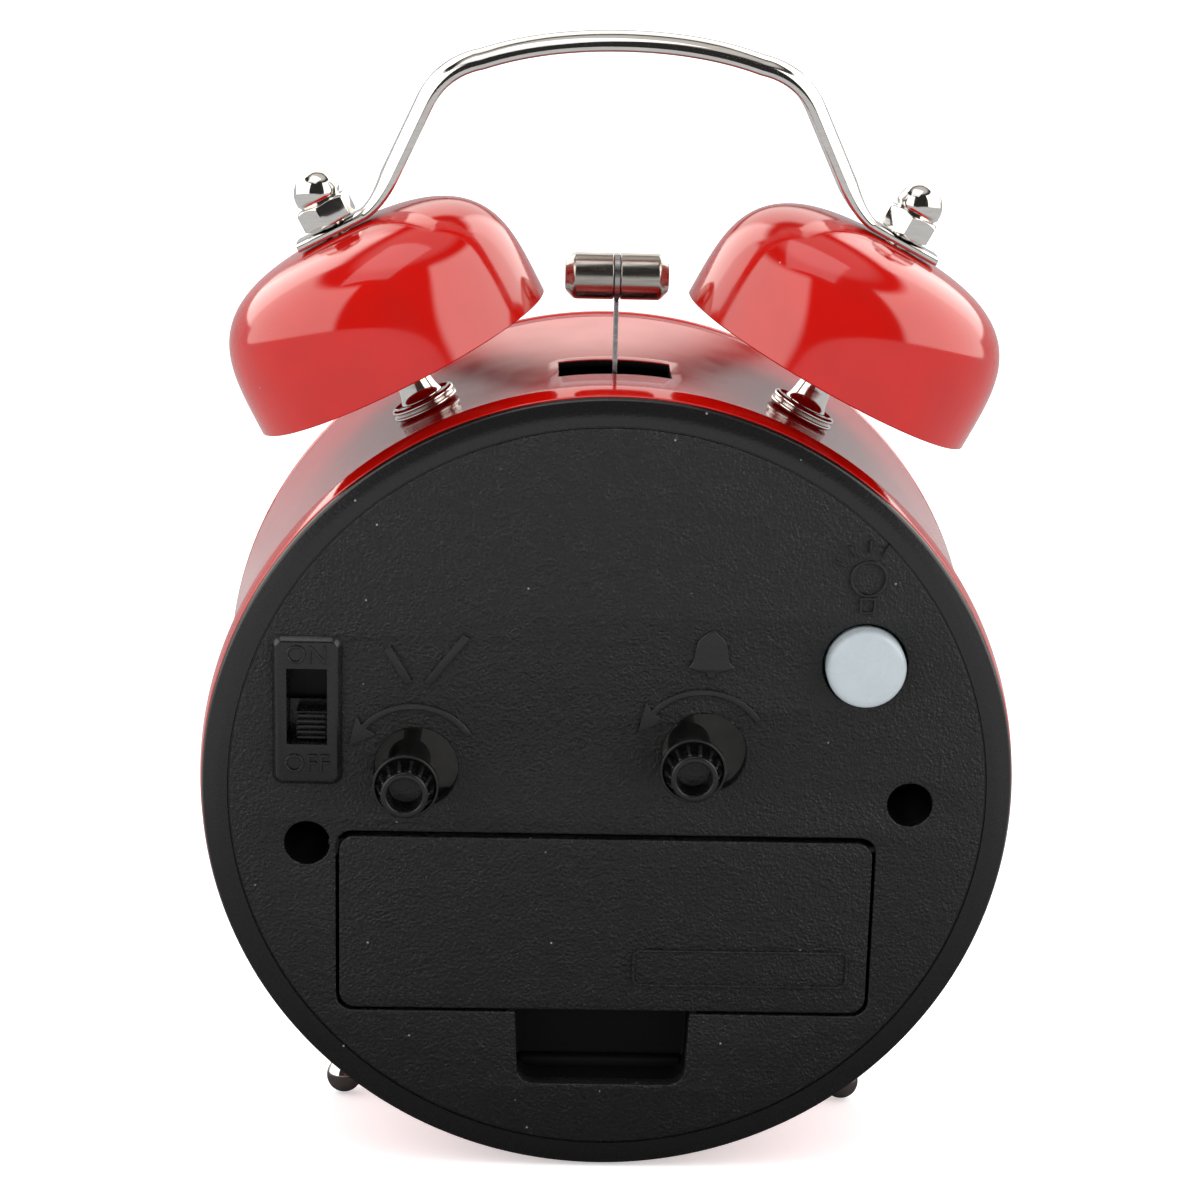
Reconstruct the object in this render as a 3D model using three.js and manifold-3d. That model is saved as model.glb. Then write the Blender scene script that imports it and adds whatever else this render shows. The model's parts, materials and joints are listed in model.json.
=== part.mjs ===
// Twin-bell battery alarm clock, seen as a maker takes it apart on a bench.
// Millimetres. The clock is drawn upright in its own frame: X to the right of the dial,
// Y from the dial (-Y) to the back cover (+Y), Z up, with the barrel's axis on Y and
// Y = 0 at the flat of the back cover. One group then leans it back onto its two feet
// and the rear ridge of the case, with the floor at Z = 0.

import * as THREE from 'three';
import { mergeVertices, toCreasedNormals } from 'three/addons/utils/BufferGeometryUtils.js';
import Module from 'manifold-3d';

const wasm = await Module();
wasm.setup();

// ---------------------------------------------------------------- driving dimensions

// Case
const barrelRadius = 45.0;        // outside of the painted barrel
const barrelWall = 0.8;
const caseDepth = 48.0;           // back cover flat to the front of the bezel
const ridgeRise = 0.25;           // crease that the rear band runs up to, proud of the barrel
const ridgeSetback = 4.5;         // ridge behind the cover's flat
const bandDrop = 0.25;            // rear band where it meets the cover, under the barrel's size
const lipSetback = 1.3;           // end of the band, in front of the cover's flat
const bezelRise = 1.2;            // bezel proud of the barrel
const bezelLength = 6.5;
const bezelLap = 4.0;             // bezel's opening inside the barrel's size
const lensThickness = 1.6;
const fit = 0.3;                  // gap kept between pieces that touch
const stackGap = 0.15;            // gap between the pieces clamped on a post
const ringGap = 0.25;             // gap kept round a piece that drops into a bore

// Back cover
const coverThickness = 1.8;
const coverFlangeInset = 0.1;     // cover's edge under the band's size
const coverSkirt = 6.0;
const coverSkirtWall = 1.3;
const coverRimWidth = 2.9;        // smooth rim outside the grained field
const screwWellRadius = 2.5;
const screwWellDepth = 12.0;
const screwWellWall = 1.0;
const leftWell = [33.0, -5.8];
const rightWell = [-33.3, -0.3];
const knobHoleRadius = 4.55;
const timeHole = [21.05, 3.15];
const alarmHole = [-10.45, 5.3];
const buttonHoleRadius = 4.6;
const buttonPlace = [-27.6, 15.7];

// Alarm switch on the cover
const switchPlate = { x: 32.9, z: 9.6, width: 7.7, height: 17.0, rise: 1.0, bevel: 0.8 };
const switchSlot = { width: 4.4, height: 8.6, dz: 0.6 };
const switchTravel = 5.2;
const sliderSize = { width: 3.3, height: 3.1 };

// Battery bay, door and cell
const doorWidth = 59.0;
const doorLap = 4.8;              // door taller than the bay behind it
const doorCentreZ = -15.1;
const doorGap = 0.35;
const doorTopGap = 0.7;           // room for the door's top corner as it swings
const doorThickness = 1.5;
const doorCorner = 1.8;
const doorHingeInset = 1.0;       // hinge line under the cover's face and below the door's top edge
const doorPinRadius = 0.45;
const doorPinReach = 1.3;
const bayWall = 1.0;
const bayWidth = 57.4;
const cellRadius = 7.1;
const bayPlay = 1.4;              // bay taller than the cell
const bayHeadroom = 3.0;          // bay deeper than the cell
const cellLength = 49.2;
const cellButtonRadius = 2.7;
const cellButtonLength = 1.2;
const catchRecess = { width: 19.6, height: 8.9, depth: 3.8, corner: 2.2 };

// Bells, posts, nuts
const bellPlaneY = -16.0;         // plane of the bells, handle and hammer
const bellTilt = 27.4;            // degrees each side of upright
const bellStandoff = 6.0;         // barrel to the bell's rim, along the post
const bellRadius = 17.5;
const bellHeight = 15.7;
const bellFlatness = 3.8;         // how upright the bell's side stands
const bellRoundness = 2.9;        // how square its shoulder is
const bellWall = 0.8;
const bellHole = 1.75;
const postRadius = 1.9;
const postThread = 1.4;
const postInside = 5.0;           // thread that reaches inside the barrel
const collarRadius = 3.8;
const collarHeight = 1.5;
const nutAcrossFlats = 5.5;
const nutHex = 2.5;
const nutHeight = 6.0;
const insideNutHeight = 2.0;

// Handle
const tongueThickness = 1.0;
const tongueReach = 4.3;          // past the post's axis to the square end
const handleShoulderIn = 7.1;     // from the foot of the leg to the shoulder, sideways
const handleShoulderUp = 15.1;
const handleCrown = 4.0;          // top of the handle above its shoulder
const handleThickness = 1.9;
const handleWidth = 6.4;
const handleStart = 5.3;          // bend of the handle, inboard of the post along the tongue

// Hammer
const hammerRise = 10.1;          // middle of the head above the barrel
const strikeGap = 2.23;           // head to each bell's rim at rest
const hammerRadius = 2.55;
const hammerGroove = 0.5;
const hammerPivotDrop = 15.5;     // pivot under the barrel's top
const bracketDrop = 3.2;          // top of the bracket under the barrel's top
const armThickness = 0.5;
const armWidth = 2.2;
const armTail = 6.0;
const slotWidth = 12.4;
const slotDepth = 8.0;
const pivotRadius = 0.8;

// Feet
const footAngle = 33.1;           // degrees each side of straight down
const footY = -29.0;
const footBallRise = 11.5;        // barrel to the middle of the ball, along the foot
const footBallRadius = 2.2;
const footFlat = 0.12;            // shaved off the ball where it stands
const footStem = 1.3;
const footCollar = 3.0;
const footThread = 1.4;

// Dial and hands
const dialEdgeGap = 0.9;          // dial inside the barrel's bore
const dialThickness = 0.8;
const dialY = -40.6;              // face of the dial
const handThickness = 0.3;
const handStep = 0.7;             // from one hand to the next
const firstHandY = -41.1;
const hourHand = { length: 20.0, width: 2.6, boss: 3.0, angle: 304.5 };
const minuteHand = { length: 30.5, width: 2.0, boss: 2.5, angle: 54.0 };
const secondHand = { length: 32.0, width: 0.7, boss: 1.5, angle: 210.0 };
const alarmHand = { length: 17.0, width: 1.6, boss: 3.6, angle: 180.0 };

// Movement
const timeKnob = [22.0, 2.55];
const alarmKnob = [-9.0, 4.9];
const knobFlangeRadius = 3.6;
const knobTipRadius = 2.75;
const knobBore = 1.8;
const knobBoreDepth = 3.2;
const knobFlangeBack = 4.7;       // flange's outer face above the cover
const knobHeight = 7.5;
const knobRibs = 14;
const knobNeck = 2.4;
const shaftRadius = 1.0;
const gearThickness = 0.8;
const gearStep = 1.2;
const gearFrontY = -36.2;         // front of the wheel nearest the dial
const teeth = { timePinion: 20, idler: 18, minute: 32, alarmPinion: 14, alarm: 28 };
const motionTeeth = { minutePinion: 12, motion: 36, motionPinion: 10, hour: 40 };
const motionCentre = 9.6;
const secondWheelTeeth = 20;
const secondWheelRadius = 6.0;
const boxX = [-18.5, 28.6];
const boxZ = [-18.4, 13.5];
const boxFrontY = -37.6;
const boxBayGap = 0.6;            // movement's back to the battery bay
const boxWall = 1.0;

// Alarm motor and light
const motorRadius = 5.0;
const motorLength = 12.0;
const motorDrop = 24.4;           // motor's shaft under the barrel's top
const boardSize = { width: 14.0, height: 16.0, thickness: 1.2 };

const creaseAngle = Math.PI / 6;   // faces that meet more sharply than this keep an edge
const round = { case: 48, bell: 32, small: 12, tiny: 8 };

// ---------------------------------------------------------------- finishes

const finish = (color, roughness, metalness) =>
  new THREE.MeshStandardMaterial({ color, roughness, metalness });
const redPaint = finish(0xc8140c, 0.12, 0.0);
const blackPlastic = finish(0x232325, 0.62, 0.0);
const nickel = finish(0xd8d8da, 0.12, 1.0);
const steel = finish(0xa8aaad, 0.3, 1.0);
const brass = finish(0xb08d48, 0.3, 1.0);
const whitePlastic = finish(0xe8eef2, 0.35, 0.0);
const greyPlastic = finish(0xb9bcc0, 0.5, 0.0);
const dialPaper = finish(0xf4f3ee, 0.7, 0.0);
const handBlack = finish(0x101012, 0.4, 0.0);
const handRed = finish(0xc01810, 0.4, 0.0);
const clearLens = finish(0xdfe8ea, 0.05, 0.0);
const boardGreen = finish(0x1f5b34, 0.5, 0.0);
const copper = finish(0xb06a3a, 0.4, 1.0);
const cellWrap = finish(0x3a4a8c, 0.4, 0.2);

// ---------------------------------------------------------------- solids

const clockGroup = new THREE.Group();
const deg = THREE.MathUtils.degToRad;

function signedVolume(positions, index) {
  const a = new THREE.Vector3();
  const b = new THREE.Vector3();
  const c = new THREE.Vector3();
  let sum = 0;
  for (let i = 0; i < index.length; i += 3) {
    a.fromArray(positions, index[i] * 3);
    b.fromArray(positions, index[i + 1] * 3);
    c.fromArray(positions, index[i + 2] * 3);
    sum += a.dot(b.cross(c));
  }
  return sum / 6;
}

// A closed geometry as a solid, with its faces turned outwards.
function solid(geometry, matrix = new THREE.Matrix4()) {
  const bare = geometry.clone().applyMatrix4(matrix);
  for (const name of Object.keys(bare.attributes)) {
    if (name !== 'position') {
      bare.deleteAttribute(name);
    }
  }
  const merged = mergeVertices(bare, 1e-4);
  const positions = merged.attributes.position.array;
  const index = [];
  const source = merged.index.array;
  for (let i = 0; i < source.length; i += 3) {
    const [a, b, c] = [source[i], source[i + 1], source[i + 2]];
    if (a !== b && b !== c && c !== a) {
      index.push(a, b, c);
    }
  }
  if (signedVolume(positions, index) < 0) {
    index.reverse();
  }
  return new wasm.Manifold(new wasm.Mesh({
    numProp: 3,
    vertProperties: new Float32Array(positions),
    triVerts: new Uint32Array(index),
  }));
}

const move = (x, y, z) => new THREE.Matrix4().makeTranslation(x, y, z);
const turnX = (angle) => new THREE.Matrix4().makeRotationX(angle);
const turnY = (angle) => new THREE.Matrix4().makeRotationY(angle);
const turnZ = (angle) => new THREE.Matrix4().makeRotationZ(angle);
const chain = (...matrices) => matrices.reduce((all, one) => all.multiply(one), new THREE.Matrix4());

// A box between two corners.
function block([x0, y0, z0], [x1, y1, z1]) {
  const size = new THREE.BoxGeometry(x1 - x0, y1 - y0, z1 - z0);
  return solid(size, move((x0 + x1) / 2, (y0 + y1) / 2, (z0 + z1) / 2));
}

// A profile of [radius, y] points turned about the Y axis.
function turned(profile, segments, matrix) {
  const points = profile.map(([radius, y]) => new THREE.Vector2(radius, y));
  return solid(new THREE.LatheGeometry(points, segments), matrix);
}

// A ring or disc along Y from y0 to y1.
function disc(outer, y0, y1, segments, inner = 0) {
  const bored = [[inner, y0], [outer, y0], [outer, y1], [inner, y1], [inner, y0]];
  const full = [[0, y0], [outer, y0], [outer, y1], [0, y1]];
  return turned(inner > 0 ? bored : full, segments);
}

const placed = (piece, x, y, z) => piece.translate([x, y, z]);

// A flat outline in X and Z, extruded along Y from y0 to y1.
function slab(outline, y0, y1, curveSegments = 6) {
  const flat = new THREE.ExtrudeGeometry(outline, {
    depth: y1 - y0, bevelEnabled: false, curveSegments,
  });
  return solid(flat, chain(move(0, y1, 0), turnX(Math.PI / 2)));
}

function roundedOutline(x0, z0, x1, z1, radius) {
  const outline = new THREE.Shape();
  outline.moveTo(x0 + radius, z0);
  outline.lineTo(x1 - radius, z0);
  outline.absarc(x1 - radius, z0 + radius, radius, -Math.PI / 2, 0);
  outline.lineTo(x1, z1 - radius);
  outline.absarc(x1 - radius, z1 - radius, radius, 0, Math.PI / 2);
  outline.lineTo(x0 + radius, z1);
  outline.absarc(x0 + radius, z1 - radius, radius, Math.PI / 2, Math.PI);
  outline.lineTo(x0, z0 + radius);
  outline.absarc(x0 + radius, z0 + radius, radius, Math.PI, Math.PI * 1.5);
  return outline;
}

function centredOutline(x, z, width, height, radius) {
  return roundedOutline(x - width / 2, z - height / 2, x + width / 2, z + height / 2, radius);
}

function addMesh(name, piece, material, parent = clockGroup) {
  const data = piece.getMesh();
  const geometry = new THREE.BufferGeometry();
  geometry.setAttribute('position', new THREE.BufferAttribute(data.vertProperties, 3));
  geometry.setIndex(new THREE.BufferAttribute(data.triVerts, 1));
  const mesh = new THREE.Mesh(toCreasedNormals(geometry, creaseAngle), material);
  mesh.name = name;
  parent.add(mesh);
  return mesh;
}

// A group whose +Y runs out along a post or foot: from the barrel's axis, turned in the XZ plane.
function radialGroup(angle, y) {
  const group = new THREE.Group();
  group.position.set(0, y, 0);
  group.rotation.set(Math.PI / 2, angle, 0, 'YXZ');
  clockGroup.add(group);
  return group;
}

// ---------------------------------------------------------------- case, bezel and lens

const barrelBore = barrelRadius - barrelWall;
const ridgeRadius = barrelRadius + ridgeRise;
const bandRadius = barrelRadius - bandDrop;
const bezelRadius = barrelRadius + bezelRise;
const bezelOpening = barrelRadius - bezelLap;
const dialRadius = barrelBore - dialEdgeGap;
const bezelBack = -caseDepth + bezelLength;
const coverRadius = barrelBore - ringGap;

function radialCutter(radius, angle, y, from, to) {
  const rod = new THREE.CylinderGeometry(radius, radius, to - from, round.small);
  return solid(rod, chain(move(0, y, 0), turnY(angle), turnX(Math.PI / 2), move(0, (from + to) / 2, 0)));
}

function buildCase() {
  const shell = turned([
    [barrelBore, -lipSetback],
    [barrelBore, bezelBack + fit],
    [barrelRadius, bezelBack + fit],
    [barrelRadius, -ridgeSetback - 0.7],
    [ridgeRadius, -ridgeSetback],
    [bandRadius, -lipSetback],
    [barrelBore, -lipSetback],
  ], round.case);
  let piece = shell;
  for (const side of [-1, 1]) {
    const post = radialCutter(postThread + ringGap, side * deg(bellTilt), bellPlaneY,
      barrelRadius - 5, barrelRadius + 5);
    const foot = radialCutter(footThread + ringGap, Math.PI - side * deg(footAngle), footY,
      barrelRadius - 5, barrelRadius + 5);
    piece = piece.subtract(post).subtract(foot);
  }
  const slot = block([-slotWidth / 2, bellPlaneY - slotDepth / 2, barrelRadius - 15],
    [slotWidth / 2, bellPlaneY + slotDepth / 2, barrelRadius + 15]);
  addMesh('case_shell', piece.subtract(slot), redPaint);
}

function buildBezel() {
  const front = -caseDepth;
  const lensSeat = front + 1.6;
  const bezel = turned([
    [barrelBore + 0.3, bezelBack],
    [bezelRadius - 0.5, bezelBack],
    [bezelRadius, bezelBack + -1.2],
    [bezelRadius, front + 2.6],
    [bezelRadius - 0.9, front + 1.0],
    [bezelRadius - 2.4, front],
    [bezelOpening + 0.6, front + 0.2],
    [bezelOpening, front + 0.9],
    [bezelOpening, lensSeat],
    [barrelBore + 0.3, lensSeat],
    [barrelBore + 0.3, bezelBack],
  ], round.case);
  addMesh('front_bezel', bezel, redPaint);
  const lensBack = lensSeat + fit + lensThickness;
  const lens = disc(barrelBore, lensSeat + fit, lensBack, round.case);
  addMesh('lens', lens, clearLens);
  const spacer = turned([
    [dialRadius, lensBack + fit],
    [dialRadius, dialY - fit],
    [dialRadius - 2.2, dialY - fit],
    [dialRadius - 1.3, lensBack + fit],
    [dialRadius, lensBack + fit],
  ], round.case);
  addMesh('dial_ring', spacer, blackPlastic);
}

function buildDial() {
  addMesh('dial', disc(dialRadius, dialY, dialY + dialThickness, round.case, 2.6), dialPaper);
}

// ---------------------------------------------------------------- inner frame

const frameFront = dialY + dialThickness + fit;
const frameBack = frameFront + 1.2;
const wellFloorY = -screwWellDepth;

function buildInnerFrame() {
  let frame = disc(dialRadius, frameFront, frameBack, round.case, 30.0);
  const bridge = block([-36, frameFront, -2.5], [36, frameBack, 2.5]);
  frame = frame.add(bridge).subtract(placed(disc(2.8, -50, 0, round.small), 0, 0, 0));
  for (const [x, z] of [leftWell, rightWell]) {
    const boss = disc(2.7, frameFront, wellFloorY - coverThickness - fit, round.small);
    const pilot = disc(1.0, wellFloorY - 9.5, wellFloorY, round.tiny);
    frame = frame.add(placed(boss, x, 0, z)).subtract(placed(pilot, x, 0, z));
  }
  addMesh('inner_frame', frame, blackPlastic);
}

// ---------------------------------------------------------------- back cover

const bayHeight = 2 * cellRadius + bayPlay;
const bayDepth = 2 * cellRadius + bayHeadroom;
const doorHeight = bayHeight + doorLap;
const hinge = {
  y: -doorHingeInset,
  z: doorCentreZ + doorHeight / 2 - doorHingeInset,
};

function bevelledPlate({ x, z, width, height, rise, bevel }) {
  const outline = centredOutline(0, 0, width, height, 1.1);
  const top = centredOutline(0, 0, width - 2 * bevel, height - 2 * bevel, 0.5);
  const lower = outline.getPoints(4);
  const upper = top.getPoints(4);
  const positions = [];
  const index = [];
  const count = Math.min(lower.length, upper.length) - 1;
  for (let i = 0; i < count; i += 1) {
    positions.push(lower[i].x + x, -0.4, lower[i].y + z);
    positions.push(lower[i].x + x, 0, lower[i].y + z);
    positions.push(upper[i].x + x, rise, upper[i].y + z);
  }
  positions.push(x, -0.4, z, x, rise, z);
  const bottom = count * 3;
  for (let i = 0; i < count; i += 1) {
    const a = i * 3;
    const b = ((i + 1) % count) * 3;
    index.push(a, b, a + 1, b, b + 1, a + 1);
    index.push(a + 1, b + 1, a + 2, b + 1, b + 2, a + 2);
    index.push(a, bottom, b, a + 2, b + 2, bottom + 1);
  }
  const geometry = new THREE.BufferGeometry();
  geometry.setAttribute('position', new THREE.Float32BufferAttribute(positions, 3));
  geometry.setIndex(index);
  return solid(geometry);
}

function buildCover() {
  const skirtBore = coverRadius - coverSkirtWall;
  const flangeRadius = bandRadius - coverFlangeInset;
  const flangeBack = -lipSetback + stackGap;
  let cover = turned([
    [0, -coverThickness],
    [skirtBore, -coverThickness],
    [skirtBore, -coverSkirt],
    [coverRadius, -coverSkirt],
    [coverRadius, flangeBack],
    [flangeRadius, flangeBack],
    [flangeRadius, flangeBack + 0.15],
    [flangeRadius - 0.35, -0.35],
    [flangeRadius - 1.1, 0],
    [0, 0],
  ], round.case);
  const bayZ0 = doorCentreZ - bayHeight / 2;
  const bayOuter = block([-bayWidth / 2 - bayWall, -bayDepth - bayWall - coverThickness, bayZ0 - bayWall],
    [bayWidth / 2 + bayWall, -coverThickness + 0.2, bayZ0 + bayHeight + bayWall]);
  const recessLow = doorCentreZ - doorHeight / 2 - catchRecess.height;
  const recessOuter = block([-catchRecess.width / 2 - 1, -catchRecess.depth - 1.2, recessLow - 1],
    [catchRecess.width / 2 + 1, -coverThickness + 0.2, bayZ0]);
  cover = cover.add(bayOuter).add(recessOuter);
  for (const [x, z] of [leftWell, rightWell]) {
    cover = cover.add(placed(disc(screwWellRadius + screwWellWall, wellFloorY - coverThickness,
      -coverThickness + 0.2, round.small), x, 0, z));
  }
  cover = cover.add(bevelledPlate(switchPlate));
  for (const [x, z] of [leftWell, rightWell]) {
    cover = cover.subtract(placed(disc(screwWellRadius, wellFloorY, 5, round.small), x, 0, z));
    cover = cover.subtract(placed(disc(1.35, wellFloorY - 5, wellFloorY + 1, round.tiny), x, 0, z));
  }
  for (const [x, z] of [timeHole, alarmHole]) {
    cover = cover.subtract(placed(disc(knobHoleRadius, -5, 5, 24), x, 0, z));
  }
  cover = cover.subtract(placed(disc(buttonHoleRadius, -5, 5, 24), buttonPlace[0], 0, buttonPlace[1]));
  const slotZ = switchPlate.z + switchSlot.dz;
  cover = cover.subtract(block(
    [switchPlate.x - switchSlot.width / 2, -5, slotZ - switchSlot.height / 2],
    [switchPlate.x + switchSlot.width / 2, 5, slotZ + switchSlot.height / 2]));
  const doorway = roundedOutline(-doorWidth / 2 - doorGap, doorCentreZ - doorHeight / 2 - doorGap,
    doorWidth / 2 + doorGap, doorCentreZ + doorHeight / 2 + doorTopGap, doorCorner);
  cover = cover.subtract(slab(doorway, -doorThickness - doorGap, 5));
  cover = cover.subtract(block([-bayWidth / 2, -bayDepth - coverThickness, bayZ0],
    [bayWidth / 2, 1, bayZ0 + bayHeight]));
  const recess = roundedOutline(-catchRecess.width / 2,
    doorCentreZ - doorHeight / 2 - doorGap - catchRecess.height,
    catchRecess.width / 2, doorCentreZ - doorHeight / 2 + 2.4, catchRecess.corner);
  cover = cover.subtract(slab(recess, -catchRecess.depth, 5));
  const pins = new THREE.CylinderGeometry(doorPinRadius + 0.08, doorPinRadius + 0.08,
    doorWidth + 2 * (doorPinReach + 0.3), round.tiny);
  cover = cover.subtract(solid(pins, chain(move(0, hinge.y, hinge.z), turnZ(Math.PI / 2))));
  const topRelief = block([-doorWidth / 2 - 0.2, -doorThickness - doorGap - 0.8, hinge.z - 1.1],
    [doorWidth / 2 + 0.2, -doorThickness, hinge.z + doorHingeInset + 0.5]);
  cover = cover.subtract(topRelief);
  addMesh('back_cover', cover, blackPlastic);
}

function buildDoor() {
  const outline = centredOutline(0, doorCentreZ, doorWidth, doorHeight, doorCorner);
  let door = slab(outline, -doorThickness, 0);
  const pins = new THREE.CylinderGeometry(doorPinRadius, doorPinRadius,
    doorWidth + 2 * doorPinReach, round.tiny);
  door = door.add(solid(pins, chain(move(0, hinge.y, hinge.z), turnZ(Math.PI / 2))));
  const labelPad = slab(centredOutline(-15.3, doorCentreZ - 4.7, 24.2, 4.4, 0.8), -0.2, 0.12);
  const tongue = block([-4, -doorThickness - 2.0, doorCentreZ - doorHeight / 2 + 0.2],
    [4, -doorThickness + 0.2, doorCentreZ - doorHeight / 2 + 1.2]);
  door = door.add(labelPad).add(tongue);
  addMesh('battery_door', door, blackPlastic);
}

function buildBattery() {
  const centreY = -coverThickness - bayDepth + cellRadius + 0.4;
  const shift = (bayWidth - cellLength) / 2 - 2.2;
  const lie = (length, radius, x) => {
    const rod = new THREE.CylinderGeometry(radius, radius, length, 24);
    return solid(rod, chain(move(x, centreY, doorCentreZ), turnZ(Math.PI / 2)));
  };
  const end = shift + cellLength / 2;
  const cell = lie(cellLength, cellRadius, shift).add(
    lie(cellButtonLength + 0.2, cellButtonRadius, end + cellButtonLength / 2 - 0.1));
  addMesh('battery_cell', cell, cellWrap);
  const plateX = bayWidth / 2 - fit;
  addMesh('positive_contact', block([plateX - 0.4, centreY - 4, doorCentreZ - 4],
    [plateX, centreY + 4, doorCentreZ + 4]), nickel);
  const springEnd = shift - cellLength / 2 - fit;
  const springRoot = -bayWidth / 2 + fit;
  const cone = new THREE.LatheGeometry([
    new THREE.Vector2(1.0, 0.5), new THREE.Vector2(3.4, 0.5), new THREE.Vector2(3.4, 0.9),
    new THREE.Vector2(1.7, springEnd - springRoot), new THREE.Vector2(1.0, springEnd - springRoot),
    new THREE.Vector2(1.0, 0.5),
  ], 16);
  const spring = solid(cone, chain(move(springRoot, centreY, doorCentreZ), turnZ(-Math.PI / 2)));
  const backing = block([springRoot, centreY - 4, doorCentreZ - 4],
    [springRoot + 0.6, centreY + 4, doorCentreZ + 4]);
  addMesh('negative_contact', spring.add(backing), nickel);
}

function buildCoverScrews() {
  [['cover_screw_left', leftWell], ['cover_screw_right', rightWell]].forEach(([name, [x, z]]) => {
    const headY = wellFloorY + fit;
    const screw = turned([
      [0, headY - 9.0],
      [0.7, headY - 8.2],
      [0.7, headY],
      [2.1, headY],
      [2.1, headY + 0.7],
      [1.3, headY + 1.4],
      [0, headY + 1.5],
    ], round.small);
    const driver = block([-1.2, headY + 0.8, -0.2], [1.2, headY + 2, 0.2])
      .add(block([-0.2, headY + 0.8, -1.2], [0.2, headY + 2, 1.2]));
    addMesh(name, placed(screw.subtract(driver), x, 0, z), steel);
  });
}

// ---------------------------------------------------------------- switch, button, light

function buildSwitch() {
  const slotBottom = switchPlate.z + switchSlot.dz - switchSlot.height / 2;
  const offZ = slotBottom + 0.15 + sliderSize.height / 2;
  const faceY = -0.4;
  let slider = block([-sliderSize.width / 2, -4.2, -sliderSize.height / 2],
    [sliderSize.width / 2, faceY, sliderSize.height / 2]);
  for (let i = 0; i < 4; i += 1) {
    const z = -sliderSize.height / 2 + 0.55 + i * 0.66;
    slider = slider.subtract(block([-5, faceY - 0.35, z - 0.14], [5, faceY + 1, z + 0.14]));
  }
  const skid = block([-2.6, -4.2, -2.3], [2.6, -3.2, 2.3]);
  addMesh('alarm_slider', placed(slider.add(skid), switchPlate.x - 0.2, 0, offZ), blackPlastic);
  const bodyZ = offZ + switchTravel / 2;
  const body = block([-3.8, -9.6, -6.5], [3.8, -4.5, 6.5]);
  addMesh('alarm_switch_body', placed(body, switchPlate.x - 0.6, 0, bodyZ), steel);
}

function buildLightButton() {
  const [x, z] = buttonPlace;
  const cap = turned([
    [0, -4.4], [1.4, -4.4], [1.4, -1.0], [4.35, -1.0], [4.35, 1.3],
    [4.0, 1.9], [3.2, 2.2], [0, 2.3],
  ], 20);
  addMesh('light_button', placed(cap, x, 0, z), whitePlastic);
  const boardY = -9.4;
  addMesh('light_switch', placed(block([-3, boardY + fit, -3], [3, -5.6, 3]), x, 0, z), blackPlastic);
  const board = block([x - boardSize.width / 2, boardY - boardSize.thickness, z - 8],
    [x + boardSize.width / 2, boardY, z - 8 + boardSize.height]);
  const lamp = placed(disc(1.6, boardY - 4.4, boardY - 0.2, round.small), x + 2, 0, z + 4);
  addMesh('circuit_board', board.add(lamp), boardGreen);
}

// ---------------------------------------------------------------- movement

// A toothed wheel with straight-sided teeth and free backlash; one tooth stands at the given angle.
function toothed(count, pitchRadius, y0, phase, bore) {
  const moduleSize = 2 * pitchRadius / count;
  const tip = pitchRadius + 0.7 * moduleSize;
  const root = pitchRadius - 1.0 * moduleSize;
  const pitch = 2 * Math.PI / count;
  const outline = new THREE.Shape();
  const corners = [[root, -0.29], [tip, -0.12], [tip, 0.12], [root, 0.29]];
  for (let i = 0; i < count; i += 1) {
    corners.forEach(([radius, share], corner) => {
      const angle = phase + (i + share) * pitch;
      const point = [radius * Math.cos(angle), radius * Math.sin(angle)];
      if (i === 0 && corner === 0) {
        outline.moveTo(...point);
      } else {
        outline.lineTo(...point);
      }
    });
  }
  outline.closePath();
  const wheel = slab(outline, y0, y0 + gearThickness);
  return bore > 0 ? wheel.subtract(disc(bore, y0 - 1, y0 + gearThickness + 1, round.small)) : wheel;
}

const level = (n) => gearFrontY + n * gearStep;
const boxBackY = -coverThickness - bayDepth - bayWall - boxBayGap;
const timeDistance = Math.hypot(...timeKnob);
const timeModule = timeDistance / (teeth.timePinion / 2 + teeth.idler + teeth.minute / 2);
const timeAngle = Math.atan2(timeKnob[1], timeKnob[0]);
const alarmDistance = Math.hypot(...alarmKnob);
const alarmModule = 2 * alarmDistance / (teeth.alarmPinion + teeth.alarm);
const alarmAngle = Math.atan2(alarmKnob[1], alarmKnob[0]);
const minuteRadius = teeth.minute * timeModule / 2;
const idlerRadius = teeth.idler * timeModule / 2;
const idlerDistance = minuteRadius + idlerRadius;
const idlerPlace = [idlerDistance * Math.cos(timeAngle), idlerDistance * Math.sin(timeAngle)];
const firstModule = 2 * motionCentre / (motionTeeth.minutePinion + motionTeeth.motion);
const secondModule = 2 * motionCentre / (motionTeeth.motionPinion + motionTeeth.hour);

const tubes = {
  second: { outer: 0.4, inner: 0, front: firstHandY - 3 * handStep - 0.5 },
  minute: { outer: 1.0, inner: 0.6, front: firstHandY - 2 * handStep - 0.45 },
  hour: { outer: 1.6, inner: 1.2, front: firstHandY - handStep - 0.45 },
  alarm: { outer: 2.2, inner: 1.8, front: firstHandY - 0.45 },
};

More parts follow.
